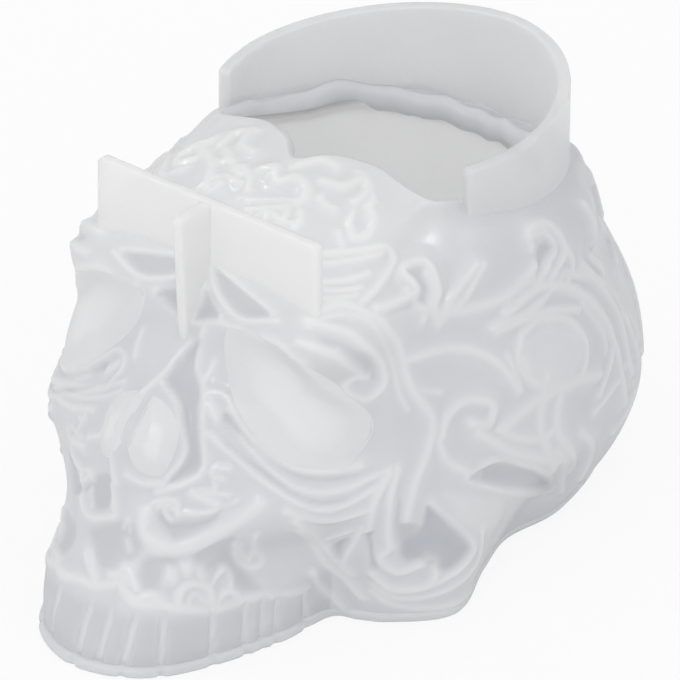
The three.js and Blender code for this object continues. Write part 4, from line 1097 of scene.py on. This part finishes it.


# pale and milky where it is thick and where light is painted on, greyer and bluer where it is thin and
# where shade is painted on;
# seeThrough and lightThrough are the shares that the eye and the light pass straight through
def siliconeMaterial(name, milkinessAndPaintedLight, seeThrough, lightThrough, gloss):
    material = bpy.data.materials.new(name)
    material.use_nodes = True
    tree = material.node_tree
    tree.nodes.clear()
    place = addNode(tree, "ShaderNodeTexCoord").outputs["Object"]
    milkAndPaintedLight = addNode(tree, "ShaderNodeAttribute", {"attribute_name": "milkAndPaintedLight"}).outputs["Fac"]
    cloud = addNode(tree, "ShaderNodeTexNoise", {
        "Scale": silicone["cloudScale"], "Detail": silicone["cloudDetail"],
        "Roughness": silicone["cloudRoughness"]}, {"Vector": place})
    cloudShare = addNode(tree, "ShaderNodeMath", {
        "operation": "MULTIPLY_ADD", 1: silicone["cloudDepth"], 2: milkinessAndPaintedLight - silicone["cloudDepth"] / 2},
        {0: cloud.outputs["Fac"]})
    thick = addNode(tree, "ShaderNodeMath", {"operation": "MULTIPLY_ADD", 1: silicone["milkShare"]},
                    {0: milkAndPaintedLight, 2: cloudShare.outputs[0]})
    ramp = addNode(tree, "ShaderNodeValToRGB", links={"Fac": thick.outputs[0]})
    marks = ramp.color_ramp.elements
    marks[0].position, marks[0].color = 0.0, linearColour(silicone["thinAndShadeColour"])
    marks[1].position, marks[1].color = 1.0, linearColour(silicone["thickAndLitColour"])
    marks.new(0.5).color = linearColour(silicone["middleColour"])
    grain = addNode(tree, "ShaderNodeTexNoise", {
        "Scale": silicone["grainScale"], "Detail": silicone["grainDetail"]}, {"Vector": place})
    (cloudLow, cloudHigh), (smoother, rougher) = silicone["cloudRange"], silicone["roughnessSpread"]
    rough = addNode(tree, "ShaderNodeMapRange", {
        "From Min": cloudLow, "From Max": cloudHigh, "To Min": silicone["roughness"] + smoother,
        "To Max": silicone["roughness"] + rougher}, {"Value": cloud.outputs["Fac"]})
    bump = addNode(tree, "ShaderNodeBump", {
        "Strength": silicone["grainStrength"], "Distance": silicone["grainHeight"]},
        {"Height": grain.outputs["Fac"]})
    shader = addNode(tree, "ShaderNodeBsdfPrincipled", {
        "IOR": silicone["index"], "Subsurface Weight": silicone["scatter"],
        "Subsurface Scale": silicone["scatterLength"], "Subsurface Radius": silicone["scatterRadius"],
        "Coat Weight": gloss, "Coat Roughness": silicone["glossRoughness"]}, {
        "Base Color": ramp.outputs["Color"], "Roughness": rough.outputs["Result"],
        "Normal": bump.outputs["Normal"]})
    clear = addNode(tree, "ShaderNodeBsdfTransparent")
    path = addNode(tree, "ShaderNodeLightPath")
    through = addNode(tree, "ShaderNodeMapRange", {"To Min": lightThrough, "To Max": seeThrough},
                      {"Value": path.outputs["Is Camera Ray"]})
    mixed = addNode(tree, "ShaderNodeMixShader", links={
        0: through.outputs["Result"], 1: shader.outputs["BSDF"], 2: clear.outputs["BSDF"]})
    addNode(tree, "ShaderNodeOutputMaterial", links={"Surface": mixed.outputs[0]})
    return material


thinSilicone = siliconeMaterial("castSiliconeSkin", 0.55, 0.12, 0.75, 0.5)  # glossy, grey in its hollows
thickSilicone = siliconeMaterial("castSiliconeThick", 0.6, 0.1, 0.75, 0.1)  # matt and even
# the plate's and fin's silicone is painted almost white, as painted light for the light that passes through
# them
plateSiliconePaintedBright = siliconeMaterial("castSiliconePlatePaintedBright", 1.05, 0.3, 0.85, 0.3)  # lit through, almost white
collarSilicone = siliconeMaterial("castSiliconeCollar", 0.7, 0.38, 0.8, 0.3)  # what is behind shows faintly
# the cup's silicone is painted brighter than the skin's, as painted light on its shaded walls and floor
cupSiliconePaintedBright = siliconeMaterial("castSiliconeCupPaintedBright", 1.2, 0.2, 0.97, 0.4)  # bright to its floor
ofPiece = {"skullSkin": thinSilicone, "pourRim": thinSilicone, "coreCup": cupSiliconePaintedBright,
           "standCollar": collarSilicone, "standPlate": plateSiliconePaintedBright, "standFin": plateSiliconePaintedBright}
for piece in bpy.context.scene.objects:
    if piece.type != "MESH":
        continue
    if piece.name in frame["nodes"]:
        chosen = thickSilicone if piece.name.startswith(("eye", "nostril", "stand")) else thinSilicone
        for slotIndex in range(len(piece.material_slots)):
            piece.material_slots[slotIndex].material = chosen
    else:
        piece.data.materials.append(ofPiece.get(piece.name, thickSilicone))


# studio: light from the front, pale floor that is white to the camera; metres and watts
studio = {"dim": 0.46, "bright": 1.0, "front": (0.3, -0.75, 0.6), "aim": (0, 0, 0.05),
          "lamps": [{"from": (0.15, -0.9, 0.85), "watts": 0.8, "size": 0.1},
                    {"from": (0.75, 0.25, 1.0), "watts": 0.5, "size": 0.06},
                    {"from": (-0.7, 0.1, 1.0), "watts": 0.5, "size": 0.06}],
          "floorSize": 4, "floorColour": "#f4f4f4", "floorShare": 0.85}


def addWorld():
    world = bpy.data.worlds.new("studio")
    world.use_nodes = True
    bpy.context.scene.world = world
    tree = world.node_tree
    background = tree.nodes["Background"]
    path = addNode(tree, "ShaderNodeLightPath")
    place = addNode(tree, "ShaderNodeTexCoord").outputs["Generated"]
    towards = addNode(tree, "ShaderNodeVectorMath", {"operation": "DOT_PRODUCT", 1: studio["front"]},
                      {0: place})
    soft = addNode(tree, "ShaderNodeMapRange", {
        "From Min": -1.0, "To Min": studio["dim"], "To Max": studio["bright"]},
        {"Value": towards.outputs["Value"]})
    bright = addNode(tree, "ShaderNodeMapRange", {"To Max": 1.0},
                     {"Value": path.outputs["Is Camera Ray"], "To Min": soft.outputs["Result"]})
    background.inputs["Color"].default_value = (1, 1, 1, 1)
    tree.links.new(bright.outputs["Result"], background.inputs["Strength"])


def addLamps():
    for count, place in enumerate(studio["lamps"]):
        lamp = bpy.data.lights.new(f"lamp{count + 1}", "AREA")
        lamp.size = place["size"]
        lamp.energy = place["watts"]
        light = bpy.data.objects.new(lamp.name, lamp)
        light.location = place["from"]
        light.rotation_euler = (Vector(studio["aim"]) - light.location).to_track_quat("-Z", "Y").to_euler()
        bpy.context.scene.collection.objects.link(light)


# white paper: matt, with the object's soft shadow
def addFloor():
    bm = bmesh.new()
    bmesh.ops.create_grid(bm, x_segments=1, y_segments=1, size=studio["floorSize"])
    mesh = bpy.data.meshes.new("floor")
    bm.to_mesh(mesh)
    bm.free()
    floor = bpy.data.objects.new("floor", mesh)
    bpy.context.scene.collection.objects.link(floor)
    material = bpy.data.materials.new("whitePaperSweep")
    material.use_nodes = True
    tree = material.node_tree
    tree.nodes.clear()
    paper = addNode(tree, "ShaderNodeBsdfDiffuse", {"Color": linearColour(studio["floorColour"])})
    glow = addNode(tree, "ShaderNodeEmission", {"Strength": 1.0})
    path = addNode(tree, "ShaderNodeLightPath")
    share = addNode(tree, "ShaderNodeMath", {"operation": "MULTIPLY", 1: studio["floorShare"]},
                    {0: path.outputs["Is Camera Ray"]})
    mixed = addNode(tree, "ShaderNodeMixShader", links={
        0: share.outputs[0], 1: paper.outputs[0], 2: glow.outputs[0]})
    addNode(tree, "ShaderNodeOutputMaterial", links={"Surface": mixed.outputs[0]})
    floor.data.materials.append(material)


addWorld()
addLamps()
addFloor()
bpy.context.scene.view_settings.view_transform = "Standard"
print("materials and studio done")
